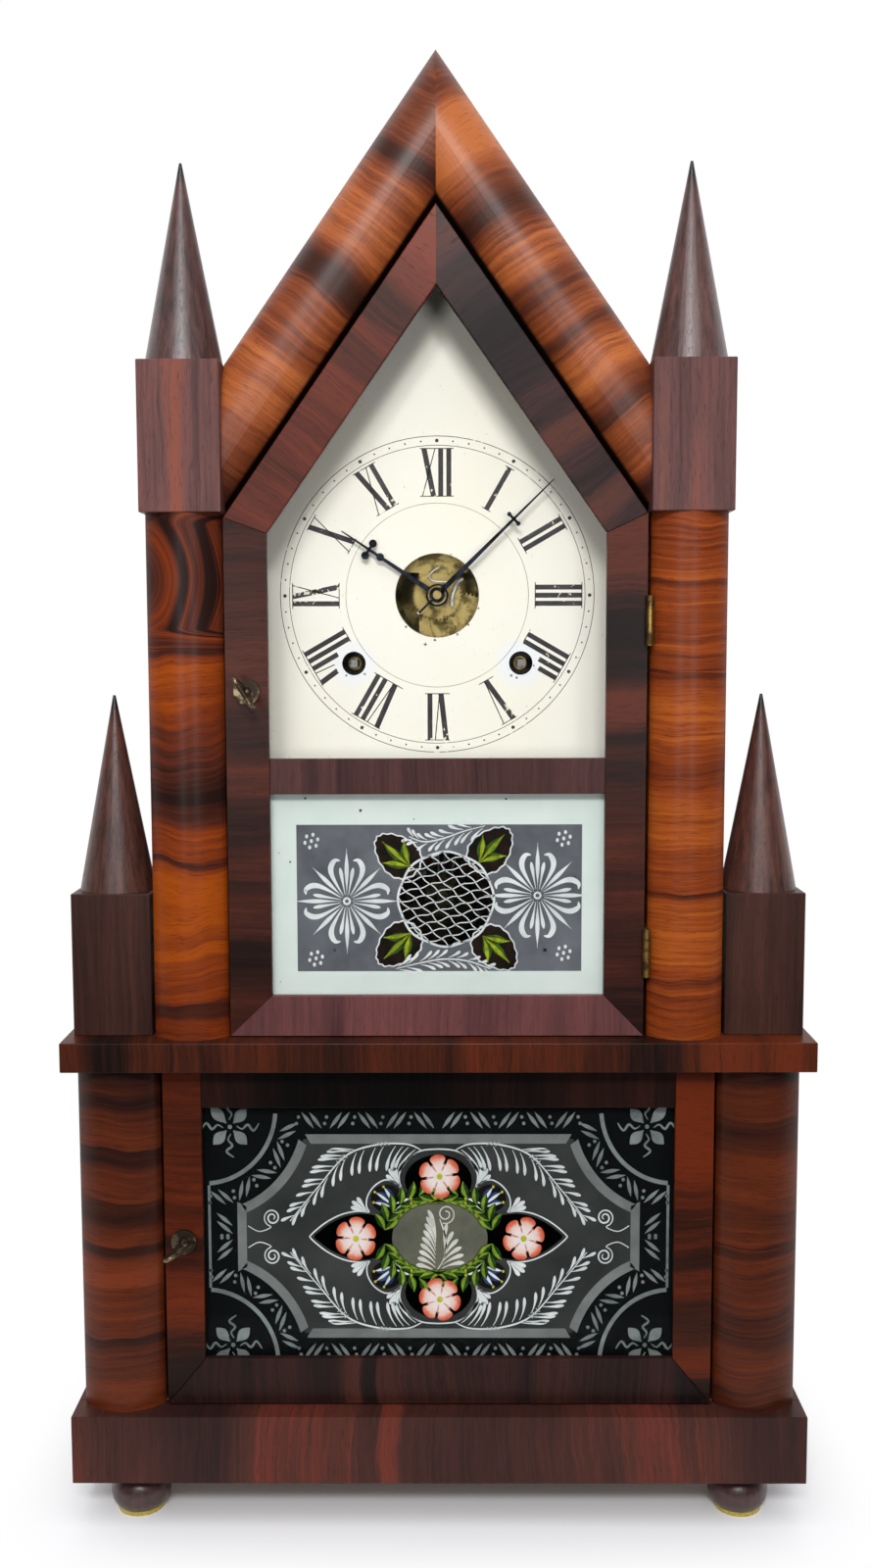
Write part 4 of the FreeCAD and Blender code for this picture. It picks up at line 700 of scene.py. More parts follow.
def smooth_line(points, per=6):
    """A line that runs smoothly through all the points."""
    ends = [points[0]] + list(points) + [points[-1]]
    line = []
    for a, b, c, d in zip(ends, ends[1:], ends[2:], ends[3:]):
        for i in range(per):
            t = i / per
            line.append(tuple(0.5 * (2 * q + (r - p) * t + (2 * p - 5 * q + 4 * r - o) * t ** 2
                                     + (3 * q - p - 3 * r + o) * t ** 3)
                              for p, q, r, o in zip(a, b, c, d)))
    return line + [points[-1]]


def thread(line, width):
    """A ribbon of one width."""
    return ribbon(line, [width] * len(line))


def swelling(line, width, thin):
    """A ribbon that is widest a little past its middle; thin is the share of that at its ends."""
    return ribbon(line, [width * (thin + (1 - thin) * math.sin(math.pi * t ** 1.3))
                         for t in even(len(line))])


def polar(x, z, radius, degrees):
    """A point at a radius and an angle, counted anticlockwise from the right."""
    angle = math.radians(degrees)
    return x + radius * math.cos(angle), z + radius * math.sin(angle)


print("outline of a stroke has", len(stroke((0, 0), (10, 0), 2)), "points")

# %% A helper that lays paint
PAINT_THICKNESS = 0.03


def lay_paint(name, shapes, material, body, front):
    """Thin closed solids in one plane; a shape is an outline, or an outline and its holes. In mm."""
    form = bmesh.new()
    for shape in shapes:
        loops = shape if isinstance(shape[0], list) else [shape]
        rings = [[form.verts.new((x * MM, front * MM, z * MM)) for x, z in loop] for loop in loops]
        if len(rings) == 1:
            form.faces.new(rings[0])
        else:
            edges = [form.edges.new((ring[i - 1], ring[i])) for ring in rings
                     for i in range(len(ring))]
            bmesh.ops.triangle_fill(form, edges=edges, use_beauty=True)
    grown = bmesh.ops.extrude_face_region(form, geom=form.faces[:], use_keep_orig=True)
    raised = [item for item in grown["geom"] if isinstance(item, bmesh.types.BMVert)]
    bmesh.ops.translate(form, verts=raised, vec=(0, PAINT_THICKNESS * MM, 0))
    bmesh.ops.recalc_face_normals(form, faces=form.faces)
    stand(name, form, [material], body)
    print("laid", name, "from", len(shapes), "shapes")


def paint(name, dark, light, scale=60.0):
    """Old oil paint in one colour, brushed unevenly."""
    finish = Finish(name, Specular_IOR_Level=0.1)
    brushed = finish.noise(finish.place(), scale=scale, detail=4.0, roughness=0.65)
    finish.feed("Base Color", finish.ramp(brushed, [(0.34, tone(*dark)), (0.66, tone(*light))]))
    finish.feed("Roughness", 0.65 + (brushed - 0.5) * 0.3)
    finish.bump(brushed, 0.08, 0.0003)
    return finish.material


print("paint is laid", PAINT_THICKNESS, "mm thick")

# %% [markdown]
# The dial's printing.
# Two rings hold sixty dots, a faint circle lies inside the numerals, and the numerals stand on the
# circle with their feet to the centre. Each is built from its own letters: upright bars, a thick
# and a thin slanted stroke, and one fine line along the heads and one along the feet. The ink has
# flaked, so its material shows cream in small chips.

# %% Numerals
NUMERAL_FOOT, NUMERAL_HEAD = 45.6, 67.3
HEIGHT = NUMERAL_HEAD - NUMERAL_FOOT
ADVANCE = {"I": 3.75, "V": 7.0, "X": 7.3}
HALF_BAR, THICK, THIN = 1.15, 2.5, 0.5
LINE_LOW, LINE_HIGH, LINE_PAST, LINE_WORN = -0.2, 0.22, 0.4, 1.6
NUMERALS = ("I", "II", "III", "IIII", "V", "VI", "VII", "VIII", "IX", "X", "XI", "XII")
WORN_RADIUS = 8.6
HOLE_ASIDE, HOLE_ABOVE = 7.7, 3.9
WORN_SIDE = {4: 1, 8: -1}


def worn_foot(hour, u):
    """How far up a stroke at u the ink is rubbed away by the winding key."""
    reach = WORN_RADIUS ** 2 - (u - WORN_SIDE.get(hour, 0) * HOLE_ASIDE) ** 2
    return HOLE_ABOVE + math.sqrt(reach) if hour in WORN_SIDE and reach > 0 else 0.0


def slanted(foot, head, width, start):
    """A slanted stroke from foot to head, with its ink kept only above a start height."""
    at = foot + (head - foot) * start / HEIGHT
    return [(at - width / 2, start), (at + width / 2, start), (head + width / 2, HEIGHT),
            (head - width / 2, HEIGHT)]


def letter(kind, u, hour):
    """The strokes of one letter that stands at u along the circle."""
    if kind == "I":
        return [bar(u - HALF_BAR, worn_foot(hour, u), u + HALF_BAR, HEIGHT)]
    if kind == "V":
        strokes = ((u + 0.2, u - 2.2, THICK), (u + 0.9, u + 2.9, THIN))
    else:
        strokes = ((u + 2.2, u - 2.2, THICK), (u - 2.9, u + 2.9, THIN))
    return [slanted(*edges, worn_foot(hour, edges[0])) for edges in strokes]


def numeral(hour):
    """The outlines of one numeral, turned to its hour."""
    word = NUMERALS[hour - 1]
    width = sum(ADVANCE[kind] for kind in word)
    shapes, u = [], -width / 2
    for kind in word:
        shapes += letter(kind, u + ADVANCE[kind] / 2, hour)
        u += ADVANCE[kind]
    end = width / 2 + LINE_PAST
    left = LINE_WORN if WORN_SIDE.get(hour) == -1 else -end
    right = -LINE_WORN if WORN_SIDE.get(hour) == 1 else end
    shapes += [bar(left, LINE_LOW, right, LINE_HIGH),
               bar(-end, HEIGHT + LINE_LOW, end, HEIGHT + LINE_HIGH)]
    turn = math.radians(hour * 30)
    sine, cosine = math.sin(turn), math.cos(turn)
    return [[(u * cosine + (NUMERAL_FOOT + v) * sine, DIAL_Z - u * sine + (NUMERAL_FOOT + v) * cosine)
             for u, v in shape] for shape in shapes]


print("strokes in each numeral:", [len(numeral(hour)) for hour in range(1, 13)])

# %% Dial printing
DIAL_FACE = -13.0
INK_FACE = DIAL_FACE - 0.02
OUTER_TRACK, DOT_TRACK, INNER_TRACK, INNER_CIRCLE = 73.0, 70.9, 68.8, 42.5
HOUR_DOT, MINUTE_DOT = 0.85, 0.42
ink = Finish("flaked_ink", Specular_IOR_Level=0.3)
place = ink.place()
worn = ink.noise(place, scale=34, detail=1.0)
flake = ink.fade(ink.noise(place, scale=380, detail=3.0, roughness=0.6) + (worn - 0.5) * 0.5, 0.66, 0.69)
thin = ink.noise(place, scale=120, detail=3.0)
black = ink.ramp(thin, [(0.35, tone(40, 37, 41)), (0.75, tone(72, 68, 71))])
ink.feed("Base Color", ink.mix(flake, black, tone(232, 226, 204)))
ink.feed("Roughness", 0.5 + (thin - 0.5) * 0.2)

marks = [shape for hour in range(1, 13) for shape in numeral(hour)]
marks += [hoop(0, DIAL_Z, OUTER_TRACK, 0.32), hoop(0, DIAL_Z, INNER_TRACK, 0.28)]
for minute in range(60):
    x, z = polar(0, DIAL_Z, DOT_TRACK, minute * 6)
    marks.append(oval(x, z, MINUTE_DOT if minute % 5 else HOUR_DOT, sides=12))
lay_paint("dial_printing", marks, ink.material, "case", INK_FACE)
faint = paint("faint_grey_line", (150, 144, 124), (196, 190, 166))
lay_paint("dial_inner_circle", [hoop(0, DIAL_Z, INNER_CIRCLE, 0.3)], faint, "case",
          INK_FACE)

# %% Chips in the dial's paint
CHIPS = ((-14.6, -14.4, 0.9), (-5.6, -22.6, 1.1), (-1.2, -20.6, 0.9), (9.4, -18.0, 0.9),
         (14.6, -13.6, 0.8), (19.2, -6.0, 0.8), (6.4, 18.9, 0.5), (34.6, -37.2, 1.0),
         (37.0, -38.2, 0.8), (45.0, -32.6, 0.7), (-34.0, -36.4, 0.9), (-42.6, -37.0, 0.8))


def ragged(spots, lift, least, jag):
    """Small ragged spots, each given as its place aside, its place above lift and its size."""
    return [[polar(x, lift + z, size * (least + jag * math.cos(3 * i + x)), 45 * i) for i in range(8)]
            for x, z, size in spots]


bare_zinc = paint("bare_zinc", (92, 92, 96), (140, 140, 142), 900)
lay_paint("dial_chips", ragged(CHIPS, DIAL_Z, 0.7, 0.3), bare_zinc, "case", INK_FACE)

# %% [markdown]
# Small steel parts behind the dial's hole.
# Two of the strike's levers come forward between the plate and the hands: a thin hooked wire and a
# stouter bent arm. Each is a round section carried along a line of points, with closed ends, and its
# root stands on the plate. A dark ring round each winding arbor is painted shade for the winding holes,
# which lie in shadow.

# %% Levers and painted shade rings
WIRE_SIDES = 10


def wire(name, points, radius, material):
    """A bent round wire through points in mm."""
    form, rings, side = bmesh.new(), [], Vector((0.3, 0.1, 0.9))
    turns = [2 * math.pi * k / WIRE_SIDES for k in range(WIRE_SIDES)]
    for i, point in enumerate(points):
        ahead = Vector(points[min(i + 1, len(points) - 1)]) - Vector(points[max(i - 1, 0)])
        ahead.normalize()
        side = (side - ahead * side.dot(ahead)).normalized()
        other = ahead.cross(side)
        spokes = [side * math.cos(turn) + other * math.sin(turn) for turn in turns]
        rings.append([form.verts.new((Vector(point) + spoke * radius) * MM) for spoke in spokes])
    for near, far in zip(rings, rings[1:]):
        for k in range(WIRE_SIDES):
            form.faces.new((near[k - 1], near[k], far[k], far[k - 1]))
    form.faces.new(rings[0][::-1])
    form.faces.new(rings[-1])
    bmesh.ops.recalc_face_normals(form, faces=form.faces)
    for face in form.faces:
        face.smooth = len(face.verts) == 4
    stand(name, form, [material], "case")


LEVER_FACE = -13.8
# Each lever has a radius, a root on the plate and its bends, in mm from the dial's centre.
LEVERS = {"strike_hook": (0.32, (0.8, 13.0),
                          [(0.8, 12.9), (-1.9, 11.2), (-3.7, 8.8), (-1.6, 6.6), (5.0, 6.3)]),
          "strike_arm": (0.7, (11.6, 7.4),
                         [(11.6, 7.4), (9.4, 5.6), (7.6, 1.2), (6.9, -1.8), (7.0, -5.2)])}
for name, (radius, (x, z), bends) in LEVERS.items():
    line = [(x, PLATE_FACE, DIAL_Z + z), (x, LEVER_FACE + 0.6, DIAL_Z + z)]
    line += [(u, LEVER_FACE, DIAL_Z + v) for u, v in smooth_line(bends)]
    wire(name, line, radius, bright_steel)
# Dark rings on the plate round the winding arbors are painted shade for the shadowed winding holes.
lay_paint("winding_washers", [hoop(x, z, 6.0, 5.8, 48) for x, z in WINDING_HOLES],
          METALS["black_iron"], "case", PLATE_FACE - 0.1)
print("levers:", list(LEVERS))

# %% [markdown]
# The upper tablet.
# The pane is painted on its back, so what is laid first is nearest to the viewer: white flowers and
# sprays, dark leaves, a slate-grey field and last a pale border. A round window is left clear and
# covered only by a white net, so that the pendulum bob glints behind it. Paint layers are stacked
# behind the glass in that same order, a few hundredths of a millimetre apart.

# %% Helpers for both tablets
UPPER_Z = 292.1
LAYER_STEP = 0.06
UPPER_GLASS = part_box("upper_tablet")
GLASS_BACK = UPPER_GLASS[1].y / MM
EDGE = 2.0


def moved(shapes, lift, rise):
    """The same outlines, made taller by the factor rise and then lifted."""
    return [[[(x, z * rise + lift) for x, z in loop] for loop in shape] if isinstance(shape[0], list)
            else [(x, z * rise + lift) for x, z in shape] for shape in shapes]


def lay_tablet(storey, middle, rise, layers):
    """Lay one tablet's paint, a layer as (name, outlines, paint, place behind the glass)."""
    for name, shapes, material, layer in layers:
        lay_paint(f"{storey}_tablet_{name}", moved(shapes, middle, rise), material, storey + "_door",
                  GLASS_BACK + 0.02 + layer * LAYER_STEP)


def pane(glass, middle):
    """A glass's outline about the middle of its picture, less the edge that the frame holds."""
    low, high = (corner / MM for corner in glass)
    return bar(low.x + EDGE, low.z + EDGE - middle, high.x - EDGE, high.z - EDGE - middle)


print("layers lie", LAYER_STEP, "mm apart, from", round(GLASS_BACK, 2), "mm on")

# %% Flowers, ferns, net and leaves
def spray(stem, count, length, width, lean):
    """A fern: a thin stem, and round drops that lean from it by some degrees and shrink to its tip."""
    shapes = [swelling(stem, 0.7, 0.5)]
    for i in range(count):
        at = int((i + 0.5) / count * (len(stem) - 1))
        (x, z), (next_x, next_z) = stem[at], stem[at + 1]
        heading = math.degrees(math.atan2(next_z - z, next_x - x))
        reach = length * (1 - 0.45 * i / count)
        for side in (1, -1):
            root = polar(x, z, 0.8, heading + side * 90)
            shapes.append(drop(root, polar(*root, reach, heading + side * lean), width, -0.12 * side))
    return shapes


def rosette(x, z):
    """A white star: needle rays, drops beside the level and upright ones, hooked petals between."""
    shapes = [hoop(x, z, 1.35, 0.95, 20)]
    for i in range(8):
        turn = 45 * i
        far = 24.2 if i % 2 == 0 else 21.8
        shapes.append(stroke(polar(x, z, 2.4, turn), polar(x, z, far, turn), 1.9, 0, 0.55, 1.7, 13))
        for side in (1, -1):
            if i % 2 == 0:
                root = polar(x, z, 3.0, turn + side * 15)
                shapes.append(drop(root, polar(x, z, 15.6, turn + side * 11), 1.7))
            else:
                hook = [(3.0, 13), (9.0, 14), (14.2, 16), (17.4, 21), (19.4, 29), (18.8, 36)]
                line = smooth_line([polar(x, z, out, turn + side * lean) for out, lean in hook], 4)
                shapes.append(swelling(line, 2.5, 0.1))
    return shapes


def net(x, z, radius, heading, pitch, wave):
    """Wavy lines across a round window, all in one direction."""
    shapes, sine, cosine = [], math.sin(heading), math.cos(heading)
    count = int(radius / pitch)
    for row in range(-count, count + 1):
        off = row * pitch
        half = math.sqrt(max(radius ** 2 - off ** 2, 0.1))
        line = []
        for i in range(41):
            s = half * (i / 20 - 1)
            sway = off + wave * math.sin(s * 0.62 + row * 2.1)
            line.append((x + s * cosine - sway * sine, z + s * sine + sway * cosine))
        shapes.append(thread(line, 0.46))
    return shapes


def scalloped(x, z, half_long, half_wide, turn, grow=0.0):
    """A leaf-shaped oval with a softly waved edge, turned to point away from the window."""
    points = []
    for i in range(60):
        angle = 2 * math.pi * i / 60
        wave = 1 + 0.03 * math.cos(15 * angle)
        u = (half_long + grow) * math.cos(angle) * wave
        v = (half_wide + grow) * math.sin(angle) * wave * (1 - 0.24 * math.cos(angle))
        points.append((x + u * math.cos(turn) - v * math.sin(turn),
                       z + u * math.sin(turn) + v * math.cos(turn)))
    return points


print("strokes in a white star:", len(rosette(0, 0)))

# %% Upper tablet
WINDOW = (3.8, -1.2, 21.6)
LEAF, LEAF_RIM = (11.6, 8.4), 0.7
DOT_GROUPS = ((-57.2, 25.6), (57.2, 26.6), (-55.6, -28.4), (57.4, -26.0))
LEAF_PLACES = ((-18.5, 19.3), (24.4, 21.8), (-18.2, -22.4), (26.4, -24.1))
white = paint("tablet_white", (206, 214, 214), (234, 238, 238))
leaf_green = paint("tablet_leaf_green", (98, 118, 18), (172, 182, 40), 300)
leaf_shade = paint("tablet_leaf_shade", (36, 66, 18), (74, 108, 30), 300)
leaf_dark = paint("tablet_leaf_dark", (14, 12, 8), (38, 22, 14), 200)
field_grey = paint("tablet_field", (78, 80, 86), (112, 116, 122), 22)
border_mint = paint("tablet_border", (214, 228, 222), (228, 238, 232), 24)
chip_brown = paint("tablet_chips", (20, 14, 12), (60, 48, 40), 700)

white_marks = rosette(-41.3, -2.0) + rosette(45.4, 0.5)
white_marks += net(*WINDOW, math.radians(16), 4.2, 0.42) + net(*WINDOW, math.radians(-44), 4.9, 0.42)
ring = [[polar(*WINDOW[:2], WINDOW[2] + edge + 0.3 * math.cos(0.42 * i), 3 * i) for i in range(120)]
        for edge in (0.5, -0.5)]
white_marks.append(ring)
for x, z in DOT_GROUPS:
    white_marks += [oval(*polar(x, z, 3.0, 60 * i + 15), 0.72, 0.95, 10) for i in range(6)]
    white_marks.append(oval(x, z, 0.72, 0.95, 10))
over = smooth_line([(21.5, 32.4), (12, 30.0), (3, 26.8), (-6, 25.2), (-13, 27.6)])
under = smooth_line([(-19, -33.2), (-8, -30.6), (3, -28.8), (14, -29.8), (24, -33.4)])
white_marks += spray(over, 9, 8.0, 1.5, 34) + spray(under, 10, 8.0, 1.4, 30)
leaf_marks, leaf_backs, leaf_ovals, leaf_edges = [], [], [], []
for x, z in LEAF_PLACES:
    turn = math.atan2(z - WINDOW[1], x - WINDOW[0])
    leaf_ovals.append(scalloped(x, z, *LEAF, turn))
    leaf_edges.append(scalloped(x, z, *LEAF, turn, LEAF_RIM))
    root = (x - 8.5 * math.cos(turn), z - 8.5 * math.sin(turn))
    for lean, far in ((-34, 13.0), (0, 17.5), (34, 13.0)):
        tip = polar(*root, far, math.degrees(turn) + lean)
        leaf_marks.append(stroke(root, tip, 1.9, -lean * 0.003, 0.55, 1.5))
        leaf_backs.append(stroke(root, tip, 4.0, -lean * 0.003 + 0.05, 0.5, 1.5))
SPOTS = ((-34.8, 39.5, 0.9), (-66.9, 16.1, 0.6), (-59.7, 45.1, 0.8), (-71.9, 20.2, 0.4),
         (-10.7, 35.5, 0.4), (31.0, 44.6, 0.6), (-72.0, -39.2, 0.4), (-47.0, -24.6, 0.8),
         (48.8, -24.6, 1.1), (-21.4, 1.8, 0.5), (-60.0, 3.0, 0.4), (62.4, 9.0, 0.5))
opening = oval(*WINDOW, sides=72)
lay_tablet("upper", UPPER_Z, 1.0, (
    ("chips", ragged(SPOTS, 0, 0.75, 0.35), chip_brown, -0.4), ("leaves", leaf_marks, leaf_green, 0),
    ("leaf_shades", leaf_backs, leaf_shade, 0.5), ("white", white_marks, white, 1),
    ("leaf_grounds", leaf_ovals, leaf_dark, 2), ("leaf_edges", leaf_edges, white, 3),
    ("field", [[bar(-64, -34.4, 65.5, 33), opening]], field_grey, 4),
    ("border", [[pane(UPPER_GLASS, UPPER_Z), opening]], border_mint, 5)))

# %% [markdown]
# The lower tablet.
# A black border with slate zigzag strokes frames an eight-sided grey field. In its middle a black
# four-lobed ground carries flowers, leaves and buds about an oval. The design is the same in all
# four quarters, so one quarter is drawn and mirrored, as a painter would turn the stencil over.

# %% Lower tablet border
LOWER_Z = 132.2
LOWER_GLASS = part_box("lower_tablet")
CORNER = (108.5, 57.2)
BAND_SIDE, BAND_TOP, BAND_ARC, BAND = 93.4, 45.7, 46.0, 4.2
LOWER_RISE = 1.07


def quarters(shapes):
    """Each outline in all four quarters."""
    return [[(sx * x, sz * z) for x, z in shape] for shape in shapes
            for sx in (1, -1) for sz in (1, -1)]


def octagon(inset):
    """The field's outline: straight sides and hollow corners, drawn a little smaller by inset."""
    side, top, arc = BAND_SIDE - inset, BAND_TOP - inset, BAND_ARC + inset
    start = 180 + math.degrees(math.asin((CORNER[1] - top) / arc))
    end = 270 - math.degrees(math.asin((CORNER[0] - side) / arc))
    quarter = [polar(*CORNER, arc, start + (end - start) * t) for t in even(13)]
    right = quarter + [(x, -z) for x, z in quarter[::-1]]
    return right + [(-x, z) for x, z in right[::-1]]


def hollow(radius, width, start, end, mitre=0.0):
    """Part of a ring about the pane's corner, with slanted ends."""
    outer = [polar(*CORNER, radius, start + (end - start) * t) for t in even(17)]
    inner = [polar(*CORNER, radius + width, start + mitre + (end - start - 2 * mitre) * t)
             for t in even(17)]
    return outer + inner[::-1]


def zigzag(x, z, facing, lean, pitch):
    """Two leaning strokes across the border, and two dots before the next pair."""
    shapes = []
    for side in (-1.8, 1.8):
        at = polar(x, z, side, facing - 90)
        shapes.append(stroke(polar(*at, 4.6, facing + 180 + lean), polar(*at, 4.6, facing + lean), 1.7))
    between = polar(x, z, pitch / 2, facing - 90)
    return shapes + [oval(*polar(*between, off, facing + 18), 0.8, sides=10) for off in (-1.5, 1.5)]


FLOWER_CORNER = (96.3, 49.0)
border_strokes = [hollow(32.4, 1.9, 184, 266), bar(105.8, 0, 107.0, 23),
                  oval(*FLOWER_CORNER, 1.0, sides=12)]
for turn, far in ((45, 12.5), (135, 11), (225, 11), (315, 11)):
    root, tip = (polar(*FLOWER_CORNER, reach, turn) for reach in (2.2, far))
    border_strokes.append(stroke(root, tip, 5.2, 0, 0.55))
for turn in (0, 90, 180, 270):
    wave = [polar(*FLOWER_CORNER, 3.2 + 2.6 * i, turn + (9 if i % 2 else -7)) for i in range(5)]
    border_strokes.append(swelling(smooth_line(wave, 4), 1.1, 0.4))
for i in range(5):
    lean, turn = 38 if i % 2 else -38, 194.5 + 16 * i
    border_strokes += zigzag(6.5 + 13 * i, 51.9, 90, lean, 13)
    border_strokes += zigzag(*polar(*CORNER, 40.2, turn), turn, lean, -11.2)
border_strokes += zigzag(99.4, 6.0, 0, 38, 12)
band_pieces = quarters([hollow(BAND_ARC, BAND, 197.4, 248.6, 1.6)])
for sign in (1, -1):
    top, low = sign * BAND_TOP, sign * (BAND_TOP - BAND)
    band_pieces.append([(-61.6, top), (61.6, top), (59.0, low), (-59.0, low)])
    out, inside = sign * BAND_SIDE, sign * (BAND_SIDE - BAND)
    band_pieces.append([(out, 15.6), (out, -15.6), (inside, -13.6), (inside, 13.6)])
slate = paint("tablet_slate", (104, 112, 111), (138, 146, 144), 90)
border_black = paint("tablet_border_black", (1, 4, 5), (4, 9, 10), 30)
band_grey = paint("tablet_band", (106, 111, 109), (126, 131, 128), 50)
field_dark = paint("tablet_dark_field", (42, 45, 44), (64, 66, 65), 16)
lay_tablet("lower", LOWER_Z, LOWER_RISE, (("border_strokes", quarters(border_strokes), slate, 6),
                                          ("band", band_pieces, band_grey, 6.5),
                                          ("field", [octagon(BAND / 2)], field_dark, 7)))
lay_tablet("lower", LOWER_Z, 1.0, (("ground", [pane(LOWER_GLASS, LOWER_Z)], border_black, 8),))

# %% Lower tablet ferns and outlines
fern_stem = smooth_line([(69, 7), (56, 22), (43, 36), (29, 41), (15, 41.4), (8, 38.8)], 8)
whites = [swelling(fern_stem, 0.8, 0.5)]
for t in even(12):
    root = fern_stem[round((0.06 + 0.42 * t) * (len(fern_stem) - 1))]
    whites.append(drop(root, polar(*root, 7.0 + 5.6 * t, -22 * (1 - t) ** 2), 1.5, 0.06))
for t in even(15):
    root = fern_stem[round((0.10 + 0.86 * t) * (len(fern_stem) - 1))]
    aim = -62 - 24 * math.sin(math.pi * t) + 14 * t
    whites.append(drop((root[0], root[1] - 1.2), polar(*root, 9.6 + 4.6 * t, aim), 1.5, 0.16))
for at in (0.34, 0.37, 0.4, 0.62, 0.65, 0.68):
    x, z = fern_stem[round(at * (len(fern_stem) - 1))]
    whites.append(stroke((x - 1.1, z - 0.9), (x + 1.1, z + 0.9), 0.5))
curl = [(88.5, 4.9), (83.4, 2.4), (78.0, 4.2)]
curl += [polar(77.2, 8.6, 3.9 - 0.16 * i, -50 + 34 * i) for i in range(20)]
whites.append(swelling(smooth_line(curl, 4), 0.75, 0.5))
for root, tips in (((17.8, 22.6), ((2.6, 8.4), (5.1, 7.8), (6.4, 5.0))),
                   ((33.0, 11.2), ((4.7, 6.4), (7.1, 4.7), (7.7, 2.1)))):
    whites += [drop(root, (root[0] + dx, root[1] + dz), 2.0) for dx, dz in tips]
EDGES = (((0, 39.2), (8, 38.4), (14, 34.8), (17.8, 29), (18.0, 24.6), (17, 21.6)),
         ((17, 21.6), (20, 24.4), (24.8, 25.4), (29.8, 22.6), (32.8, 18.2), (33.4, 13.8), (32, 11)),
         ((32, 11), (38, 11.4), (45, 10), (52, 6.6), (57.6, 2.4), (60, 0)))
whites += [thread(smooth_line(edge), 0.62) for edge in EDGES]
lay_tablet("lower", LOWER_Z, LOWER_RISE, (("ferns", quarters(whites), white, 3.8),))

# %% Lower tablet flowers
PETAL_COUNT = 6
FLOWERS = ((39.6, -0.8), (-38.4, -0.8), (0.6, 27.0), (0.6, -28.2))
petals = Finish("flower_petals", Specular_IOR_Level=0.3)
x, y, z = petals.split(petals.place())
spot = petals.vector(x * MILLIMETRES, 0, (z * MILLIMETRES - LOWER_Z) * (1 / LOWER_RISE))
nearest = None
for cx, cz in FLOWERS:
    away = petals.distance(spot, (cx, 0, cz))
    nearest = away if nearest is None else nearest.math("MINIMUM", nearest, away)
brushed = petals.noise(petals.place(), scale=420, detail=3.0)
petals.feed("Base Color", petals.ramp(nearest * 0.1 + (brushed - 0.5) * 0.24, [
    (0.42, tone(240, 230, 226)), (0.66, tone(238, 204, 192)), (0.84, tone(224, 118, 86)),
    (0.98, tone(198, 74, 46))]))
petals.feed("Roughness", 0.45 + (brushed - 0.5) * 0.3)
flower_marks, creases, eyes, hearts = [], [], [], []
for i, (x, z) in enumerate(FLOWERS):
    for petal in range(PETAL_COUNT):
        aim = 15 + 11 * i + petal * 360 / PETAL_COUNT
        flower_marks.append(drop(polar(x, z, 0.4, aim), polar(x, z, 9.8, aim), 7.3))
        creases.append(stroke(polar(x, z, 2.2, aim + 30), polar(x, z, 6.6, aim + 30), 0.8))
    eyes.append(oval(x, z, 1.4, sides=14))
    hearts.append(oval(x, z, 5.8))
print("flowers:", len(FLOWERS), "petals:", len(flower_marks))

# %% Lower tablet wreath, buds and feathers
WREATH = (25.4, 20.0)
BUD_ROOT = (19.4, 12.8)
leaf_marks, leaf_shades, buds, bud_whites, bud_dots = [], [], [], [], []
for i in range(7):
    turn = 9 + 12 * i
    at = (WREATH[0] * math.cos(math.radians(turn)), WREATH[1] * math.sin(math.radians(turn)))
    for lean, length in ((126, 10.0), (50, 8.4)):
        tip = polar(*at, length, turn + lean)
        leaf_marks.append(stroke(at, tip, 1.6, 0.26, 0.5, 1.2))
        leaf_shades.append(stroke(at, tip, 3.8, 0.14, 0.5))
for aim, length in ((14, 8.4), (36, 9.8), (58, 8.8)):
    tip = polar(*BUD_ROOT, length + 2, aim)
    buds.append(stroke(polar(*BUD_ROOT, 2, aim), tip, 2.7, 0.2, 0.6))
    bud_whites.append(stroke(polar(*BUD_ROOT, 2, aim - 4), tip, 1.3, 0.05, 0.6))
    bud_dots.append(oval(*polar(*BUD_ROOT, length + 2.6, aim), 0.6, sides=10))
for lift in (0.0, 2.6):
    bud_whites.append(stroke((20.5, 14.2 - lift), (13.2, 17.0 - lift * 0.8), 1.3, -0.12, 0.6))
    bud_dots.append(oval(12.6, 17.2 - lift * 0.8, 0.55, sides=10))
feathers = [swelling(smooth_line([(-1.7, -16.4), (2.6, -9.5), (3.4, -1.0), (0.6, 8.0)]), 0.8, 0.4)]
for t in even(9):
    root = (-1.6 + 0.4 * t, -15.6 + 15.0 * t)
    feathers.append(drop(root, (-10.4 + 5.6 * t, -12.6 + 24.6 * t), 2.0, -0.14))
for t in even(6):
    root = (1.6 + 1.4 * t, -14.2 + 8.0 * t)
    feathers.append(drop(root, (12.0 - 8.0 * t ** 2, -11.6 + 17.4 * t), 1.9, 0.12))
scroll = [polar(3.4, 10.2, 4.4 - 0.17 * i, -110 + 30 * i) for i in range(20)]
feathers.append(thread(smooth_line(scroll, 3), 0.5))
print("leaves in a quarter of the wreath:", len(leaf_shades), "strokes in the feathers:", len(feathers))


# %% Lower tablet layers
def lobes():
    """The dark ground behind the flowers: an oval, two pointed ends and round lobes."""
    side = stroke((12, 0), (57.6, 0), 20.5, 0, 0.52, 0.8, 25)
    rounds = [oval(24.2, 17.2, 7.2, 6.2), oval(0, 25.0, 15.6, 11.6)]
    return quarters([side] + rounds) + [oval(0, 0, 30.5, 23, 48)]


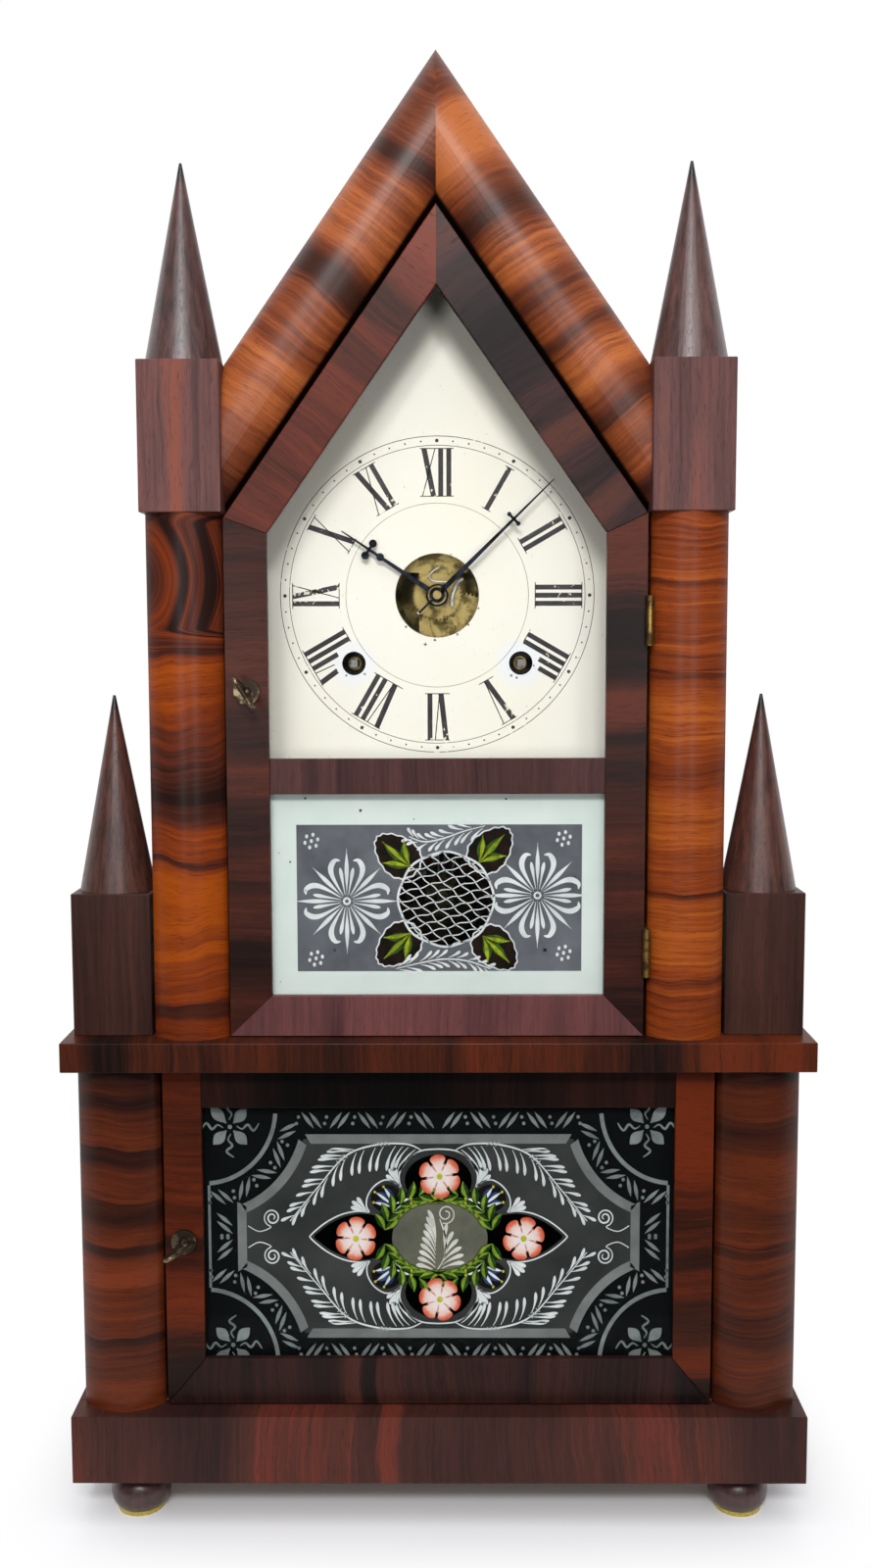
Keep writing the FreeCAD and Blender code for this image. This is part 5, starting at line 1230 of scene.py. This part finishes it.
feather_white = paint("feather_white", (196, 196, 186), (226, 226, 218), 200)
leaf_light = paint("wreath_light", (92, 124, 30), (146, 172, 56), 300)
leaf_deep = paint("wreath_dark", (18, 44, 12), (44, 84, 24), 300)
bud_blue = paint("bud_blue", (22, 38, 84), (52, 80, 132), 300)
eye_yellow = paint("flower_eye", (170, 164, 30), (214, 206, 70), 500)
crease_pink = paint("petal_crease", (206, 122, 104), (232, 172, 156), 500)
oval_olive = paint("oval_olive", (84, 86, 76), (112, 112, 96), 30)
lobe_black = paint("lobe_black", (8, 8, 7), (24, 20, 14), 40)
lay_tablet("lower", LOWER_Z, LOWER_RISE, (
    ("flower_eyes", eyes + quarters(bud_dots), eye_yellow, 0), ("creases", creases, crease_pink, 0.5),
    ("petals", flower_marks, petals.material, 1), ("hearts", hearts, petals.material, 1.5),
    ("leaf_lights", quarters(leaf_marks), leaf_light, 2.0),
    ("leaves", quarters(leaf_shades), leaf_deep, 2.5),
    ("bud_lights", quarters(bud_whites), white, 3.0), ("buds", quarters(buds), bud_blue, 3.4),
    ("feathers", feathers, feather_white, 3.8),
    ("oval", [oval(0.6, -0.8, 22.2, 17.4, 48)], oval_olive, 4.2), ("lobes", lobes(), lobe_black, 4.8)))

# %% [markdown]
# Floor, lamps and world.
# The clock stands on a pale table in soft light. Two lamps high in front give the shading of the
# case, a pair of low spots reach under the gable to the dial, and a broad lamp overhead lights the
# tops. One big lamp would be simpler, but it leaves the deep dial dark. The world is white where the
# camera looks at it and lights the clock from above only. In a mirror it is white behind the clock
# and nearly black in front, so the panes stay clear. The floor is ordinary pale paint near the
# clock, where it keeps the shadow, and goes over to plain white further out.

# %% Floor
TABLE_EDGES = (-2.5, -0.24, 2.5, 3.0)
WHITE_BESIDE, WHITE_BEFORE = (0.158, 0.215), (0.056, 0.105)
floor_form = bmesh.new()
x0, y0, x1, y1 = TABLE_EDGES
corners = ((x0, y0), (x1, y0), (x1, y1), (x0, y1))
floor_form.faces.new([floor_form.verts.new((x, y, 0)) for x, y in corners])
floor_mesh = bpy.data.meshes.new("floor")
floor_form.to_mesh(floor_mesh)
floor_form.free()
floor = bpy.data.objects.new("floor", floor_mesh)
bpy.context.scene.collection.objects.link(floor)


def seen(sheet):
    """1 where the camera, a reflection or clear glass looks at a surface, else 0."""
    path = sheet.node("ShaderNodeLightPath", output="Is Camera Ray")
    return path + path.output("Is Glossy Ray") + path.output("Is Transmission Ray")


floor_paint = Finish("pale_floor", Base_Color=tone(240, 240, 243), Roughness=0.8,
                     Specular_IOR_Level=0.1)
x, y, z = floor_paint.split(floor_paint.place())
beside = floor_paint.fade(abs(x), *WHITE_BESIDE)
before = floor_paint.fade(abs(y), *WHITE_BEFORE)
away = beside + (1 - beside) * before
plain_white = floor_paint.node("ShaderNodeEmission", None, {"Color": (1, 1, 1, 1), "Strength": 1.0})
shown = seen(floor_paint) * away
blend = floor_paint.node("ShaderNodeMixShader", None, [
    shown, Strand(floor_paint, floor_paint.shader.outputs[0]), plain_white])
floor_paint.tree.links.new(blend.socket, floor_paint.tree.nodes["Material Output"].inputs[0])
floor_mesh.materials.append(floor_paint.material)
print("floor edges in m:", TABLE_EDGES)

# %% Lamps and world
MIRRORED_FRONT = 0.05
SPOT_CONE = math.radians(30)
# Each lamp has a kind, a place, the height it points at, a power in watts and a width in metres.
LAMPS = {"left_lamp": ("AREA", (-0.20, -1.40, 1.20), 0.33, 7.0, 0.22),
         "right_lamp": ("AREA", (0.08, -1.40, 1.14), 0.33, 7.0, 0.22),
         "left_fill": ("SPOT", (-0.42, -1.40, 0.38), 0.52, 16.6, 0.2),
         "right_fill": ("SPOT", (0.42, -1.40, 0.38), 0.52, 16.6, 0.2),
         "overhead_lamp": ("AREA", (0.0, -0.55, 1.70), 0.33, 3.0, 0.8)}
for name, (kind, spot, target, power, width) in LAMPS.items():
    lamp = bpy.data.lights.new(name, kind)
    lamp.energy = power
    if kind == "SPOT":
        lamp.spot_size = SPOT_CONE
        lamp.spot_blend = 1.0
        lamp.shadow_soft_size = width
    else:
        lamp.shape = "SQUARE"
        lamp.size = width
    holder = bpy.data.objects.new(name, lamp)
    holder.location = spot
    aim = Vector((0, 0, target)) - Vector(spot)
    holder.rotation_euler = aim.to_track_quat("-Z", "Y").to_euler()
    bpy.context.scene.collection.objects.link(holder)

world = bpy.data.worlds.new("studio")
world.use_nodes = True
bpy.context.scene.world = world
sky = Sheet(world.node_tree)
direction = sky.node("ShaderNodeTexCoord", output="Generated")
aside, deep, high = sky.split(direction)
behind = sky.fade(deep, -0.25, 0.35)
above = sky.fade(high, -0.05, 0.45)
path = sky.node("ShaderNodeLightPath", output="Is Camera Ray")
mirrored = path.output("Is Glossy Ray") + path.output("Is Transmission Ray")
in_mirror = MIRRORED_FRONT + behind * (1 - MIRRORED_FRONT)
strength = path + (1 - path) * (mirrored * in_mirror + (1 - mirrored) * above)
background = world.node_tree.nodes["Background"]
background.inputs["Color"].default_value = (1, 1, 1, 1)
world.node_tree.links.new(strength.socket, background.inputs["Strength"])
print("lamps:", len(LAMPS))

# %% [markdown]
# The last cell.
